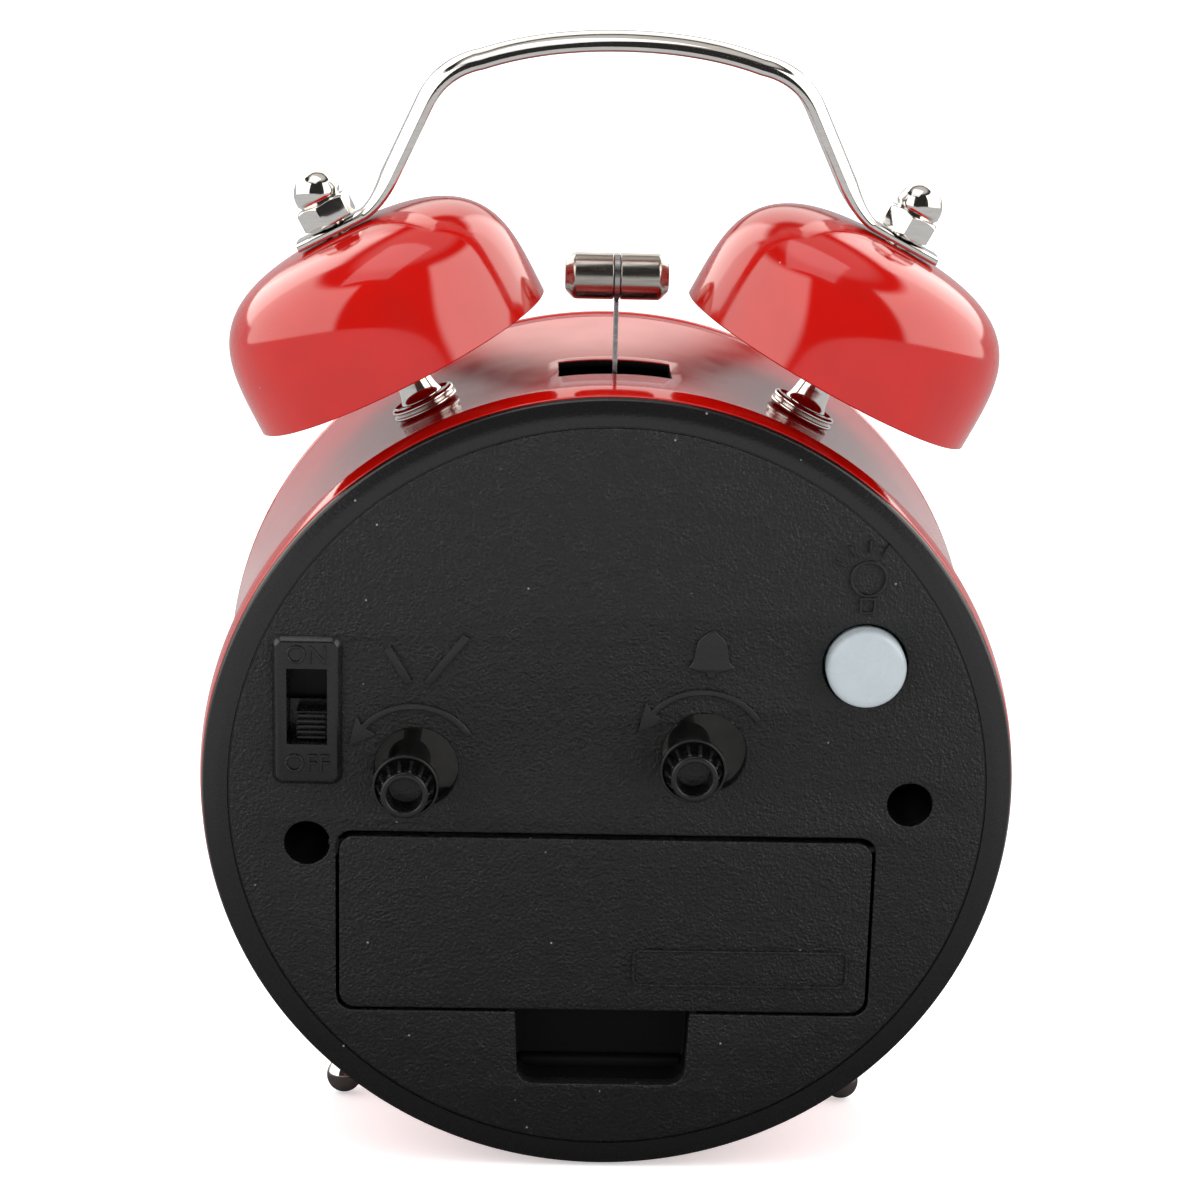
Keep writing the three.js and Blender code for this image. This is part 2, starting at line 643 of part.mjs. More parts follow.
function buildWheels() {
  const down = -Math.PI / 2;
  const alarmWheel = toothed(teeth.alarm, teeth.alarm * alarmModule / 2, level(0),
    alarmAngle + Math.PI / teeth.alarm, tubes.alarm.inner)
    .add(disc(tubes.alarm.outer, tubes.alarm.front, level(0) + 0.2, round.small, tubes.alarm.inner));
  addMesh('alarm_wheel', alarmWheel, whitePlastic);
  const hourWheel = toothed(motionTeeth.hour, motionTeeth.hour * secondModule / 2, level(1),
    down + Math.PI / motionTeeth.hour, tubes.hour.inner)
    .add(disc(tubes.hour.outer, tubes.hour.front, level(1) + 0.2, round.small, tubes.hour.inner));
  addMesh('hour_wheel', hourWheel, whitePlastic);
  const minuteWheel = toothed(teeth.minute, minuteRadius, level(3),
    timeAngle + Math.PI / teeth.minute, tubes.minute.inner)
    .add(toothed(motionTeeth.minutePinion, motionTeeth.minutePinion * firstModule / 2, level(2),
      down, tubes.minute.inner))
    .add(disc(tubes.minute.outer, tubes.minute.front, level(3) + 0.2, round.small, tubes.minute.inner));
  addMesh('minute_wheel', minuteWheel, whitePlastic);
  const up = Math.PI / 2;
  const motionWheel = toothed(motionTeeth.motion, motionTeeth.motion * firstModule / 2, level(2),
    up + Math.PI / motionTeeth.motion, 0.7)
    .add(toothed(motionTeeth.motionPinion, motionTeeth.motionPinion * secondModule / 2, level(1),
      up, 0.7))
    .add(disc(1.2, level(1), level(2) + 0.2, round.tiny, 0.7));
  addMesh('motion_wheel', placed(motionWheel, 0, 0, -motionCentre), whitePlastic);
  const idler = toothed(teeth.idler, idlerRadius, level(3), timeAngle, 0.7);
  addMesh('setting_idler', placed(idler, idlerPlace[0], 0, idlerPlace[1]), whitePlastic);
  const secondWheel = toothed(secondWheelTeeth, secondWheelRadius, level(4), 0, 0)
    .add(disc(tubes.second.outer, tubes.second.front, boxBackY - 3, round.tiny));
  addMesh('second_wheel', secondWheel, whitePlastic);
}

function buildSettingKnob(name, [x, z], pinionTeeth, pinionRadius, pinionLevel, phase) {
  const flangeFront = knobFlangeBack - 0.8;
  const gearY = level(pinionLevel);
  let knob = turned([
    [0, gearY - 0.3],
    [shaftRadius, gearY - 0.3],
    [shaftRadius, -6.0],
    [knobNeck, -5.0],
    [knobNeck, flangeFront],
    [knobFlangeRadius, flangeFront],
    [knobFlangeRadius, knobFlangeBack],
    [knobTipRadius - 0.35, knobFlangeBack],
    [knobTipRadius - 0.35, knobHeight - 0.5],
    [knobTipRadius, knobHeight - 0.5],
    [knobTipRadius, knobHeight],
    [0, knobHeight],
  ], 16);
  for (let i = 0; i < knobRibs; i += 1) {
    const angle = i * 2 * Math.PI / knobRibs;
    const rib = new THREE.BoxGeometry(1.0, knobHeight - knobFlangeBack - 0.1, 0.5);
    knob = knob.add(solid(rib, chain(turnY(angle),
      move(knobTipRadius - 0.35, (knobHeight + knobFlangeBack) / 2 - 0.1, 0))));
  }
  knob = knob.subtract(disc(knobBore, knobHeight - knobBoreDepth, knobHeight + 1, round.small));
  addMesh(`${name}_knob`, placed(knob, x, 0, z), blackPlastic);
  const bore = disc(shaftRadius + 0.05, gearY - 1, gearY + gearThickness + 2, 16);
  const gear = toothed(pinionTeeth, pinionRadius, gearY, phase, 0)
    .add(disc(shaftRadius + 0.7, gearY, gearY + gearThickness + 0.6, 16))
    .subtract(bore);
  addMesh(`${name}_gear`, placed(gear, x, 0, z), whitePlastic);
}

function buildMovementCase() {
  const outline = () => roundedOutline(boxX[0], boxZ[0], boxX[1], boxZ[1], 2.5);
  const innerX = [boxX[0] + boxWall, boxX[1] - boxWall];
  const innerZ = [boxZ[0] + boxWall, boxZ[1] - boxWall];
  let plate = slab(outline(), boxFrontY, boxFrontY + boxWall);
  plate = plate.subtract(disc(2.5, -60, 0, round.small));
  plate = plate.add(placed(disc(0.6, boxFrontY, level(3), round.tiny), 0, 0, -motionCentre));
  plate = plate.add(placed(disc(0.6, boxFrontY, level(4), round.tiny), idlerPlace[0], 0, idlerPlace[1]));
  addMesh('movement_plate', plate, greyPlastic);
  const shellFront = boxFrontY + boxWall + fit;
  const inner = roundedOutline(innerX[0], innerZ[0], innerX[1], innerZ[1], 1.5);
  let shell = slab(outline(), shellFront, boxBackY);
  shell = shell.subtract(slab(inner, shellFront - 1, boxBackY - boxWall));
  for (const [x, z] of [timeKnob, alarmKnob]) {
    shell = shell.subtract(placed(disc(shaftRadius + 0.2, -40, 0, round.small), x, 0, z));
  }
  addMesh('movement_shell', shell, greyPlastic);
}

function buildStepper() {
  const y0 = level(5) + 0.6;
  const core = block([-12, y0, -16], [10, y0 + 0.8, -13]);
  const legs = block([-12, y0, -16], [-9.5, y0 + 0.8, -6]).add(block([7.5, y0, -16], [10, y0 + 0.8, -6]));
  addMesh('stepper_stator', core.add(legs), steel);
  const coilFront = y0 + 1.6;
  const coilRadius = (boxBackY - boxWall - 0.4 - coilFront) / 2;
  const coil = new THREE.CylinderGeometry(coilRadius, coilRadius, 12, 20);
  const winding = solid(coil, chain(move(-1, coilFront + coilRadius, -13.0), turnZ(Math.PI / 2)));
  addMesh('stepper_coil', winding, copper);
}

// A clock hand as a flat tapered blade with a round boss, pointing clockwise from twelve.
function buildHand(name, hand, index, tube, material) {
  const y1 = firstHandY - index * handStep;
  const blade = new THREE.Shape();
  blade.moveTo(-hand.width / 2, 0);
  blade.lineTo(-hand.width * 0.3, hand.length * 0.86);
  blade.lineTo(0, hand.length);
  blade.lineTo(hand.width * 0.3, hand.length * 0.86);
  blade.lineTo(hand.width / 2, 0);
  blade.lineTo(hand.width * 0.35, -hand.length * 0.16);
  blade.lineTo(-hand.width * 0.35, -hand.length * 0.16);
  blade.closePath();
  const piece = slab(blade, y1 - handThickness, y1)
    .add(disc(hand.boss, y1 - handThickness, y1, 24))
    .subtract(disc(tube.outer + 0.1, y1 - 1, y1 + 1, round.small));
  addMesh(name, piece.rotate([0, hand.angle, 0]), material);
}

// ---------------------------------------------------------------- alarm works

const bellRimAlong = barrelRadius + bellStandoff;
const rimInside = bellRimAlong * Math.sin(deg(bellTilt)) - bellRadius * Math.cos(deg(bellTilt));
const hammerHalf = rimInside - strikeGap;
const hammerZ = barrelRadius + hammerRise;
const hammerPivotZ = barrelRadius - hammerPivotDrop;
const bracketTop = barrelRadius - bracketDrop;
const motorZ = barrelRadius - motorDrop;

function buildHammer() {
  const y = bellPlaneY;
  const arm = block([-armThickness / 2, y - armWidth / 2, hammerPivotZ - armTail],
    [armThickness / 2, y + armWidth / 2, hammerZ - hammerRadius - 0.1]);
  const eye = placed(disc(1.9, y - armWidth / 2, y + armWidth / 2, round.small), 0, 0, hammerPivotZ);
  const bore = placed(disc(pivotRadius + 0.06, y - 5, y + 5, round.small), 0, 0, hammerPivotZ);
  addMesh('hammer_arm', arm.add(eye).subtract(bore), steel);
  const taper = 1.1;
  const profile = [
    [0, -hammerHalf], [hammerRadius * 0.62, -hammerHalf], [hammerRadius, -hammerHalf + taper],
    [hammerRadius, -hammerGroove], [hammerRadius - 0.4, -hammerGroove + 0.3],
    [hammerRadius - 0.4, hammerGroove - 0.3], [hammerRadius, hammerGroove],
    [hammerRadius, hammerHalf - taper], [hammerRadius * 0.62, hammerHalf], [0, hammerHalf],
  ];
  const head = turned(profile, 16, chain(move(0, y, hammerZ), turnZ(Math.PI / 2)));
  addMesh('hammer_head', head, nickel);
  const pin = disc(pivotRadius, y - 4.2, y + 4.2, round.small);
  addMesh('hammer_pivot', placed(pin, 0, 0, hammerPivotZ), steel);
  const cheek = (y0, y1) => block([-4, y0, hammerPivotZ - 3], [4, y1, hammerPivotZ + 3])
    .subtract(placed(disc(pivotRadius + 0.3, -60, 0, round.small), 0, 0, hammerPivotZ));
  const bracket = cheek(y - 3.6, y - 2.6).add(cheek(y + 2.6, y + 3.6))
    .add(block([4, y - 3.6, hammerPivotZ - 3], [5, y + 3.6, hammerPivotZ + 3]))
    .add(block([4, y - 3.6, hammerPivotZ - 3], [12, y - 2.6, hammerPivotZ + 3]))
    .add(block([9, y - 3.6, hammerPivotZ - 3], [12, y - 2.6, bracketTop]))
    .add(block([9, y - 3.6, bracketTop - 1], [12, y + 2.6, bracketTop]));
  addMesh('hammer_bracket', bracket, steel);
}

function buildAlarmMotor() {
  const front = bellPlaneY - armWidth / 2 - 2.0;
  const can = placed(disc(motorRadius, front - motorLength, front, 24), 0, 0, motorZ)
    .subtract(placed(disc(0.7, front - 2, front + 1, round.tiny), 0, 0, motorZ));
  addMesh('alarm_motor', can, steel);
  const shaft = disc(0.45, front - 1.5, front + 0.6, round.tiny);
  const hub = disc(1.5, front + 0.5, front + 1.4, round.small);
  const peg = placed(disc(0.4, front + 1.2, front + 3.4, round.tiny), 0.9, 0, 0);
  addMesh('motor_cam', placed(shaft.add(hub).add(peg), 0, 0, motorZ), brass);
}

// ---------------------------------------------------------------- bells, handle, feet

const bellTopAlong = bellRimAlong + bellHeight;
const tongueLow = bellTopAlong + stackGap;
const nutLow = tongueLow + tongueThickness + stackGap;

// Radius of the bell's outside, as a share of the full radius, at a share of its height.
function bellShare(height) {
  return Math.pow(Math.max(0, 1 - Math.pow(height, bellFlatness)), 1 / bellRoundness);
}

function bellProfile(radius, height, base, steps) {
  const points = [];
  for (let i = 0; i <= steps; i += 1) {
    const share = 1 - Math.pow(1 - i / steps, 1.7);
    points.push([Math.max(bellHole, radius * bellShare(share)), base + height * share]);
  }
  return points;
}

function buildBell(side, group) {
  const outer = bellProfile(bellRadius, bellHeight, bellRimAlong, 7);
  const inner = bellProfile(bellRadius - bellWall, bellHeight - bellWall, bellRimAlong, 7);
  const profile = [...outer, ...inner.reverse(), outer[0]];
  addMesh(`bell_${side}`, turned(profile, round.bell), redPaint, group);
}

function buildPost(side, group) {
  const shoulder = bellTopAlong - bellWall - fit;
  const post = turned([
    [0, barrelRadius - postInside], [postThread, barrelRadius - postInside],
    [postThread, barrelRadius + fit + collarHeight + 0.2],
    [postRadius + 0.25, barrelRadius + fit + collarHeight + 0.2],
    [postRadius, barrelRadius + collarHeight + 2.5], [postRadius, shoulder],
    [postThread, shoulder], [postThread, nutLow + nutHeight - 2.4], [0, nutLow + nutHeight - 2.4],
  ], round.small);
  addMesh(`bell_post_${side}`, post, nickel, group);
  const low = barrelRadius + fit;
  const collar = turned([
    [postThread + ringGap, low], [collarRadius - 0.5, low], [collarRadius, low + 0.35],
    [collarRadius - 0.2, low + 0.8], [collarRadius, low + 1.1], [collarRadius - 0.2, low + collarHeight],
    [collarRadius - 0.6, low + collarHeight], [postRadius + 0.9, low + 0.9],
    [postThread + ringGap, low + 0.9], [postThread + ringGap, low],
  ], 16);
  addMesh(`post_collar_${side}`, collar, nickel, group);
  addMesh(`post_nut_${side}`, hexNut(barrelBore - 1.2 - insideNutHeight, insideNutHeight, postThread),
    steel, group);
}

function hexBlock(low, height) {
  const corner = nutAcrossFlats / Math.sqrt(3);
  return solid(new THREE.CylinderGeometry(corner, corner, height, 6), move(0, low + height / 2, 0));
}

function hexNut(low, height, thread) {
  return hexBlock(low, height)
    .subtract(disc(thread + 0.15, low - 1, low + height + 1, round.small));
}

function buildCapNut(side, group) {
  const domeRadius = nutAcrossFlats / 2 - 0.15;
  const dome = [[0, nutLow + nutHex - 0.2], [domeRadius, nutLow + nutHex - 0.2]];
  const straight = nutHeight - nutHex - domeRadius;
  for (let i = 0; i <= 6; i += 1) {
    const angle = i * Math.PI / 12;
    dome.push([domeRadius * Math.cos(angle), nutLow + nutHex + straight + domeRadius * Math.sin(angle)]);
  }
  dome[dome.length - 1][0] = 0;
  const nut = hexBlock(nutLow, nutHex).add(turned(dome, 12))
    .subtract(disc(postThread + ringGap, nutLow - 1, nutLow + nutHeight - 2.1, round.small));
  addMesh(`cap_nut_${side}`, nut, nickel, group);
}

function buildBells() {
  [['right', 1], ['left', -1]].forEach(([side, sign]) => {
    const group = radialGroup(sign * deg(bellTilt), bellPlaneY);
    buildBell(side, group);
    buildPost(side, group);
    buildCapNut(side, group);
  });
}

// The handle's middle line in the XZ plane, from the right-hand tongue over to the left-hand one.
function handlePath() {
  const tilt = deg(bellTilt);
  const along = tongueLow + tongueThickness / 2;
  const start = new THREE.Vector2(
    along * Math.sin(tilt) - handleStart * Math.cos(tilt),
    along * Math.cos(tilt) + handleStart * Math.sin(tilt));
  const bendIn = new THREE.Vector2(start.x + 1.6 * Math.cos(tilt), start.y - 1.6 * Math.sin(tilt));
  const shoulder = new THREE.Vector2(start.x - handleShoulderIn, start.y + handleShoulderUp);
  const top = new THREE.Vector2(0, shoulder.y + handleCrown - handleThickness / 2);
  const legUp = shoulder.clone().sub(start).normalize();
  const right = [];
  const addCurve = (curve, count) => curve.getPoints(count).forEach((point) => right.push(point));
  const bendOut = start.clone().addScaledVector(legUp, 3.4);
  addCurve(new THREE.QuadraticBezierCurve(bendIn, start, bendOut), 4);
  const beforeShoulder = shoulder.clone().addScaledVector(legUp, -3.6);
  const afterShoulder = new THREE.Vector2(shoulder.x - 4.2, shoulder.y + 0.85);
  addCurve(new THREE.QuadraticBezierCurve(beforeShoulder, shoulder, afterShoulder), 4);
  const underTop = new THREE.Vector2(shoulder.x / 2 - 1, top.y);
  addCurve(new THREE.QuadraticBezierCurve(afterShoulder, underTop, top), 3);
  const left = right.slice(0, -1).map((point) => new THREE.Vector2(-point.x, point.y)).reverse();
  return [...right, ...left];
}

function buildHandle() {
  const path = handlePath();
  const section = [];
  for (let i = 0; i <= 5; i += 1) {
    const angle = i * Math.PI / 5;
    section.push([Math.cos(angle) * handleWidth / 2, Math.sin(angle) * handleThickness * 0.75]);
  }
  section.push([-handleWidth / 2, -handleThickness * 0.25], [handleWidth / 2, -handleThickness * 0.25]);
  const positions = [];
  const index = [];
  const count = section.length;
  path.forEach((point, i) => {
    const before = path[Math.max(0, i - 1)];
    const after = path[Math.min(path.length - 1, i + 1)];
    const run = after.clone().sub(before).normalize();
    const out = new THREE.Vector2(run.y, -run.x).negate();
    if (out.dot(point.clone().sub(new THREE.Vector2(0, 50))) < 0) {
      out.negate();
    }
    section.forEach(([across, up]) => {
      positions.push(point.x + out.x * up, bellPlaneY + across, point.y + out.y * up);
    });
  });
  for (let i = 0; i < path.length - 1; i += 1) {
    for (let j = 0; j < count; j += 1) {
      const a = i * count + j;
      const b = i * count + (j + 1) % count;
      index.push(a, a + count, b, b, a + count, b + count);
    }
  }
  const last = (path.length - 1) * count;
  for (let j = 1; j < count - 1; j += 1) {
    index.push(0, j, j + 1, last, last + j + 1, last + j);
  }
  const geometry = new THREE.BufferGeometry();
  geometry.setAttribute('position', new THREE.Float32BufferAttribute(positions, 3));
  geometry.setIndex(index);
  let handle = solid(geometry);
  for (const sign of [-1, 1]) {
    const outline = new THREE.Shape();
    outline.moveTo(tongueReach, -handleWidth / 2);
    outline.lineTo(tongueReach, handleWidth / 2);
    outline.lineTo(-handleStart, handleWidth / 2);
    outline.lineTo(-handleStart, -handleWidth / 2);
    outline.closePath();
    const flat = new THREE.ExtrudeGeometry(outline, {
      depth: tongueThickness, bevelEnabled: false,
    });
    const lay = chain(move(0, bellPlaneY, 0), turnY(sign * deg(bellTilt)), move(0, 0, tongueLow),
      new THREE.Matrix4().makeScale(sign, 1, 1));
    handle = handle.add(solid(flat, lay));
    const holeRadius = postThread + ringGap;
    handle = handle.subtract(radialCutter(holeRadius, sign * deg(bellTilt), bellPlaneY,
      tongueLow - 3, tongueLow + 3));
  }
  addMesh('handle', handle, nickel);
}

// ---------------------------------------------------------------- stance

const footBallAlong = barrelRadius + footBallRise;
const footCentreZ = -footBallAlong * Math.cos(deg(footAngle));
const standY = -lipSetback - footY;
const standZ = footCentreZ + bandRadius;
const footReach = footBallRadius - footFlat;
const lean = Math.asin(footReach / Math.hypot(standY, standZ)) - Math.atan2(standZ, standY);

function buildFeet() {
  [['right', 1], ['left', -1]].forEach(([side, sign]) => {
    const group = radialGroup(Math.PI - sign * deg(footAngle), footY);
    const low = barrelRadius + fit;
    const profile = [
      [0, barrelRadius - 4.5], [footThread, barrelRadius - 4.5], [footThread, low],
      [footCollar, low], [footCollar, low + 0.8], [footStem + 0.5, low + 1.6], [footStem, low + 4.0],
    ];
    const neck = Math.asin(footStem / footBallRadius);
    for (let i = 0; i <= 9; i += 1) {
      const angle = Math.PI - neck - i * (Math.PI - neck) / 9;
      profile.push([footBallRadius * Math.sin(angle), footBallAlong + footBallRadius * Math.cos(angle)]);
    }
    profile[profile.length - 1][0] = 0;
    const turnedFoot = turned(profile, 16);
    group.updateMatrixWorld(true);
    const toClock = group.matrixWorld.clone();
    const upright = turnedFoot.transform(toClock.elements);
    const floor = block([-80, -80, -20], [80, 80, 0]);
    const centre = new THREE.Vector3(0, footBallAlong, 0).applyMatrix4(toClock);
    const lay = chain(move(centre.x, centre.y, centre.z), turnX(lean), move(0, 0, -footReach));
    addMesh(`foot_${side}`, upright.subtract(floor.transform(lay.elements)), nickel);
    addMesh(`foot_nut_${side}`, hexNut(barrelBore - 1.2 - insideNutHeight, insideNutHeight, footThread),
      steel, group);
  });
}

// ---------------------------------------------------------------- assembly

buildCase();
buildBezel();
buildDial();
buildInnerFrame();
buildCover();
buildDoor();
buildBattery();
buildCoverScrews();
buildSwitch();
buildLightButton();
buildWheels();
buildSettingKnob('time_set', timeKnob, teeth.timePinion, teeth.timePinion * timeModule / 2, 3,
  timeAngle + Math.PI + Math.PI / teeth.timePinion);
buildSettingKnob('alarm_set', alarmKnob, teeth.alarmPinion, teeth.alarmPinion * alarmModule / 2, 0,
  alarmAngle + Math.PI);
buildMovementCase();
buildStepper();
buildHand('alarm_hand', alarmHand, 0, tubes.alarm, handRed);
buildHand('hour_hand', hourHand, 1, tubes.hour, handBlack);
buildHand('minute_hand', minuteHand, 2, tubes.minute, handBlack);
buildHand('second_hand', secondHand, 3, tubes.second, handRed);
buildHammer();
buildAlarmMotor();
buildBells();
buildHandle();
buildFeet();

const standing = new THREE.Group();
clockGroup.rotation.x = -lean;
standing.add(clockGroup);
const extent = new THREE.Box3().setFromObject(standing, true);
clockGroup.position.set(0, -(extent.min.y + extent.max.y) / 2, -extent.min.z);

export default standing;
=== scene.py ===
"""A red twin-bell battery alarm clock, seen from behind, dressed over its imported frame.

Sizes are in millimetres in the clock's own upright frame: x to the right of the dial, y from the
dial to the back cover, z up, with the origin where the hands' spindle meets the back cover's face.
"""

import json
import logging
import math
from dataclasses import dataclass
from enum import Enum
from typing import Any, Iterable, Optional, Sequence

import bmesh
import bpy
from mathutils import Matrix, Vector


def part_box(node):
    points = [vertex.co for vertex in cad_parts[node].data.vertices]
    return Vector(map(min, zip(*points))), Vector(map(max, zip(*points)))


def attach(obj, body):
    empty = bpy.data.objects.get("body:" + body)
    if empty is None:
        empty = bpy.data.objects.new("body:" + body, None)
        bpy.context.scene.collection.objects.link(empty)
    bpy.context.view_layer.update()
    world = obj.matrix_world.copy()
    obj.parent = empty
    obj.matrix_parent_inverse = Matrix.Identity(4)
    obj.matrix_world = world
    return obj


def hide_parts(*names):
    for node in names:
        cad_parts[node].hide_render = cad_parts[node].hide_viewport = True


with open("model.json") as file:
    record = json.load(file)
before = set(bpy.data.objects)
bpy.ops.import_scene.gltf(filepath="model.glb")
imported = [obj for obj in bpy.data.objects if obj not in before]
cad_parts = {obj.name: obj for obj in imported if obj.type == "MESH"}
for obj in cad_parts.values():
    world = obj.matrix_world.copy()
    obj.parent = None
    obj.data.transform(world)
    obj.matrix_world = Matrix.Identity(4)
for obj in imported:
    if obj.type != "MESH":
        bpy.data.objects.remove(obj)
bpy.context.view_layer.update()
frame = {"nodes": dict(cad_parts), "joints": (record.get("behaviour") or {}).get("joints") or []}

LOG = logging.getLogger("alarm_clock")
MM = 0.001
WELD = 1e-5
ON_AXIS = 1e-6
Profile = Sequence[Sequence[float]]


# ------------------------------------------------------------------ where the clock stands

class Seat:
    """The leaned clock's own frame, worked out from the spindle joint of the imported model."""

    def __init__(self, joints: Iterable[dict]) -> None:
        """Finds the spindle and squares a frame on it.

        Args:
            joints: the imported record's joints.
        """
        spindle = next(joint for joint in joints if joint["name"] == "minute_turn")
        outward = Vector(spindle["axis"]).normalized()
        across = Vector((1.0, 0.0, 0.0))
        turn = Matrix((across, outward, across.cross(outward))).transposed().to_4x4()
        place = Matrix.Translation(Vector(spindle["pos_m"]))
        self.clock: Matrix = place @ turn @ Matrix.Scale(MM, 4)

    def back(self, height: float = 0.0) -> Matrix:
        """Drawing frame on the back: u to the onlooker's right, v up, w out of the cover.

        Args:
            height: how far above the cover's face the drawing lies.

        Returns:
            The matrix from the drawing to the room.
        """
        turn = Matrix(((-1.0, 0.0, 0.0), (0.0, 0.0, 1.0), (0.0, 1.0, 0.0))).to_4x4()
        return self.clock @ Matrix.Translation((0.0, height, 0.0)) @ turn

    def spot(self, place: Sequence[float]) -> Matrix:
        """Drawing frame on the back with its origin at a (u, v) place."""
        return self.back() @ Matrix.Translation((*place, 0.0))

    def dial(self, y: float) -> Matrix:
        """Drawing frame that faces the front, at a depth along y.

        Args:
            y: place along the barrel's axis.

        Returns:
            The matrix from the drawing to the room.
        """
        return self.clock @ Matrix.Translation((0.0, y, 0.0)) @ Matrix.Rotation(math.pi / 2, 4, "X")

    def radial(self, angle: float, y: float) -> Matrix:
        """Frame whose z runs out of the barrel's axis, leaned sideways from upright.

        Args:
            angle: degrees from upright towards +x.
            y: place along the barrel's axis.

        Returns:
            The matrix from that frame to the room.
        """
        lean = Matrix.Rotation(math.radians(angle), 4, "Y")
        return self.clock @ Matrix.Translation((0.0, y, 0.0)) @ lean


# ------------------------------------------------------------------ shared surface effects

class Nodes:
    """Adds nodes to a tree and joins them, with few words."""

    def __init__(self, tree: bpy.types.NodeTree) -> None:
        """Keeps the tree that is filled."""
        self.tree = tree

    def add(self, kind: str, operation: Optional[str] = None, **values: Any) -> bpy.types.Node:
        """Adds one node.

        Args:
            kind: the node's type without its ShaderNode prefix.
            operation: the operation of a math node.
            **values: input name, with _ for a space, and a number or the socket that feeds it.

        Returns:
            The new node.
        """
        prefix = "" if kind.startswith("NodeGroup") else "ShaderNode"
        node = self.tree.nodes.new(prefix + kind)
        if operation:
            node.operation = operation
        for name, value in values.items():
            self.feed(node, name.replace("_", " "), value)
        return node

    def feed(self, node: bpy.types.Node, name: str, value: Any) -> None:
        """Sets an input to a value or links a socket to it."""
        socket = node.inputs[int(name[1:])] if name[0] == "#" else node.inputs[name]
        if isinstance(value, bpy.types.NodeSocket):
            self.tree.links.new(value, socket)
        else:
            socket.default_value = value

    def math(self, operation: str, first: Any, second: Any = 0.0, third: Any = 0.0) -> bpy.types.NodeSocket:
        """Puts numbers through a math node and gives its result."""
        node = self.add("Math", operation)
        for index, value in enumerate((first, second, third)):
            self.feed(node, f"#{index}", value)
        return node.outputs[0]

    def ramp(self, value: bpy.types.NodeSocket, low: float, high: float,
             bottom: float = 0.0, top: float = 1.0) -> bpy.types.NodeSocket:
        """Maps a value from low..high to bottom..top, clamped at both ends."""
        node = self.add("MapRange", Value=value)
        for name, number in (("From Min", low), ("From Max", high), ("To Min", bottom), ("To Max", top)):
            node.inputs[name].default_value = number
        return node.outputs["Result"]

    def mix(self, factor: Any, first: Any, second: Any) -> bpy.types.NodeSocket:
        """Mixes two colours by a factor and gives the colour."""
        node = self.tree.nodes.new("ShaderNodeMix")
        node.data_type = "RGBA"
        for index, value in ((0, factor), (6, first), (7, second)):
            self.feed(node, f"#{index}", value)
        return node.outputs[2]


class Effect:
    """A shader node group with a Vector input, number inputs and Height, Mask or Tone outputs."""

    def __init__(self, name: str, inputs: dict[str, float], outputs: Sequence[str]) -> None:
        """Makes the empty group with its sockets.

        Args:
            name: the group's name.
            inputs: number inputs with their default values.
            outputs: names of the number outputs.
        """
        self.group = bpy.data.node_groups.new(name, "ShaderNodeTree")
        sockets = self.group.interface
        sockets.new_socket("Vector", in_out="INPUT", socket_type="NodeSocketVector")
        for title, value in inputs.items():
            made = sockets.new_socket(title, in_out="INPUT", socket_type="NodeSocketFloat")
            made.default_value = value
        for title in outputs:
            sockets.new_socket(title, in_out="OUTPUT", socket_type="NodeSocketFloat")
        self.nodes = Nodes(self.group)
        self.source = self.nodes.add("NodeGroupInput")
        self.target = self.nodes.add("NodeGroupOutput")

    def take(self, name: str) -> bpy.types.NodeSocket:
        """Gives one of the group's inputs."""
        return self.source.outputs[name]

    def opened(self) -> tuple[Nodes, bpy.types.NodeSocket, bpy.types.NodeSocket]:
        """Gives what every group starts from: its nodes, its place and its scale."""
        return self.nodes, self.take("Vector"), self.take("Scale")

    def give(self, name: str, value: bpy.types.NodeSocket) -> None:
        """Links a value to one of the group's outputs."""
        self.nodes.feed(self.target, name, value)


class Texture(Enum):
    """The surface textures that the finishes choose from."""

    GRAIN = "spark-eroded grain"
    PEEL = "enamel peel"
    PITTED = "plated metal"
    BRUSHED = "brushed metal"
    PAPER = "printed paper"


def build_grain() -> bpy.types.NodeTree:
    """Fine pebbled grain of a moulded cover: soft cells broken up by noise."""
    effect = Effect("moulded_grain", {"Scale": 1500.0}, ("Height", "Tone"))
    nodes, place, scale = effect.opened()
    cells = nodes.add("TexVoronoi", Vector=place, Scale=scale)
    cells.feature = "SMOOTH_F1"
    cells.inputs["Smoothness"].default_value = 0.6
    fine = nodes.add("TexNoise", Vector=place, Scale=nodes.math("MULTIPLY", scale, 1.7), Detail=3.0)
    wide = nodes.add("TexNoise", Vector=place, Scale=nodes.math("MULTIPLY", scale, 0.16), Detail=2.0)
    pebbles = nodes.math("MULTIPLY", cells.outputs["Distance"], 0.75)
    height = nodes.math("ADD", pebbles, nodes.math("MULTIPLY", fine.outputs["Fac"], 0.9))
    patches = nodes.ramp(wide.outputs["Fac"], 0.35, 0.65, 0.7, 1.0)
    effect.give("Height", nodes.math("MULTIPLY", height, patches))
    effect.give("Tone", fine.outputs["Fac"])
    return effect.group


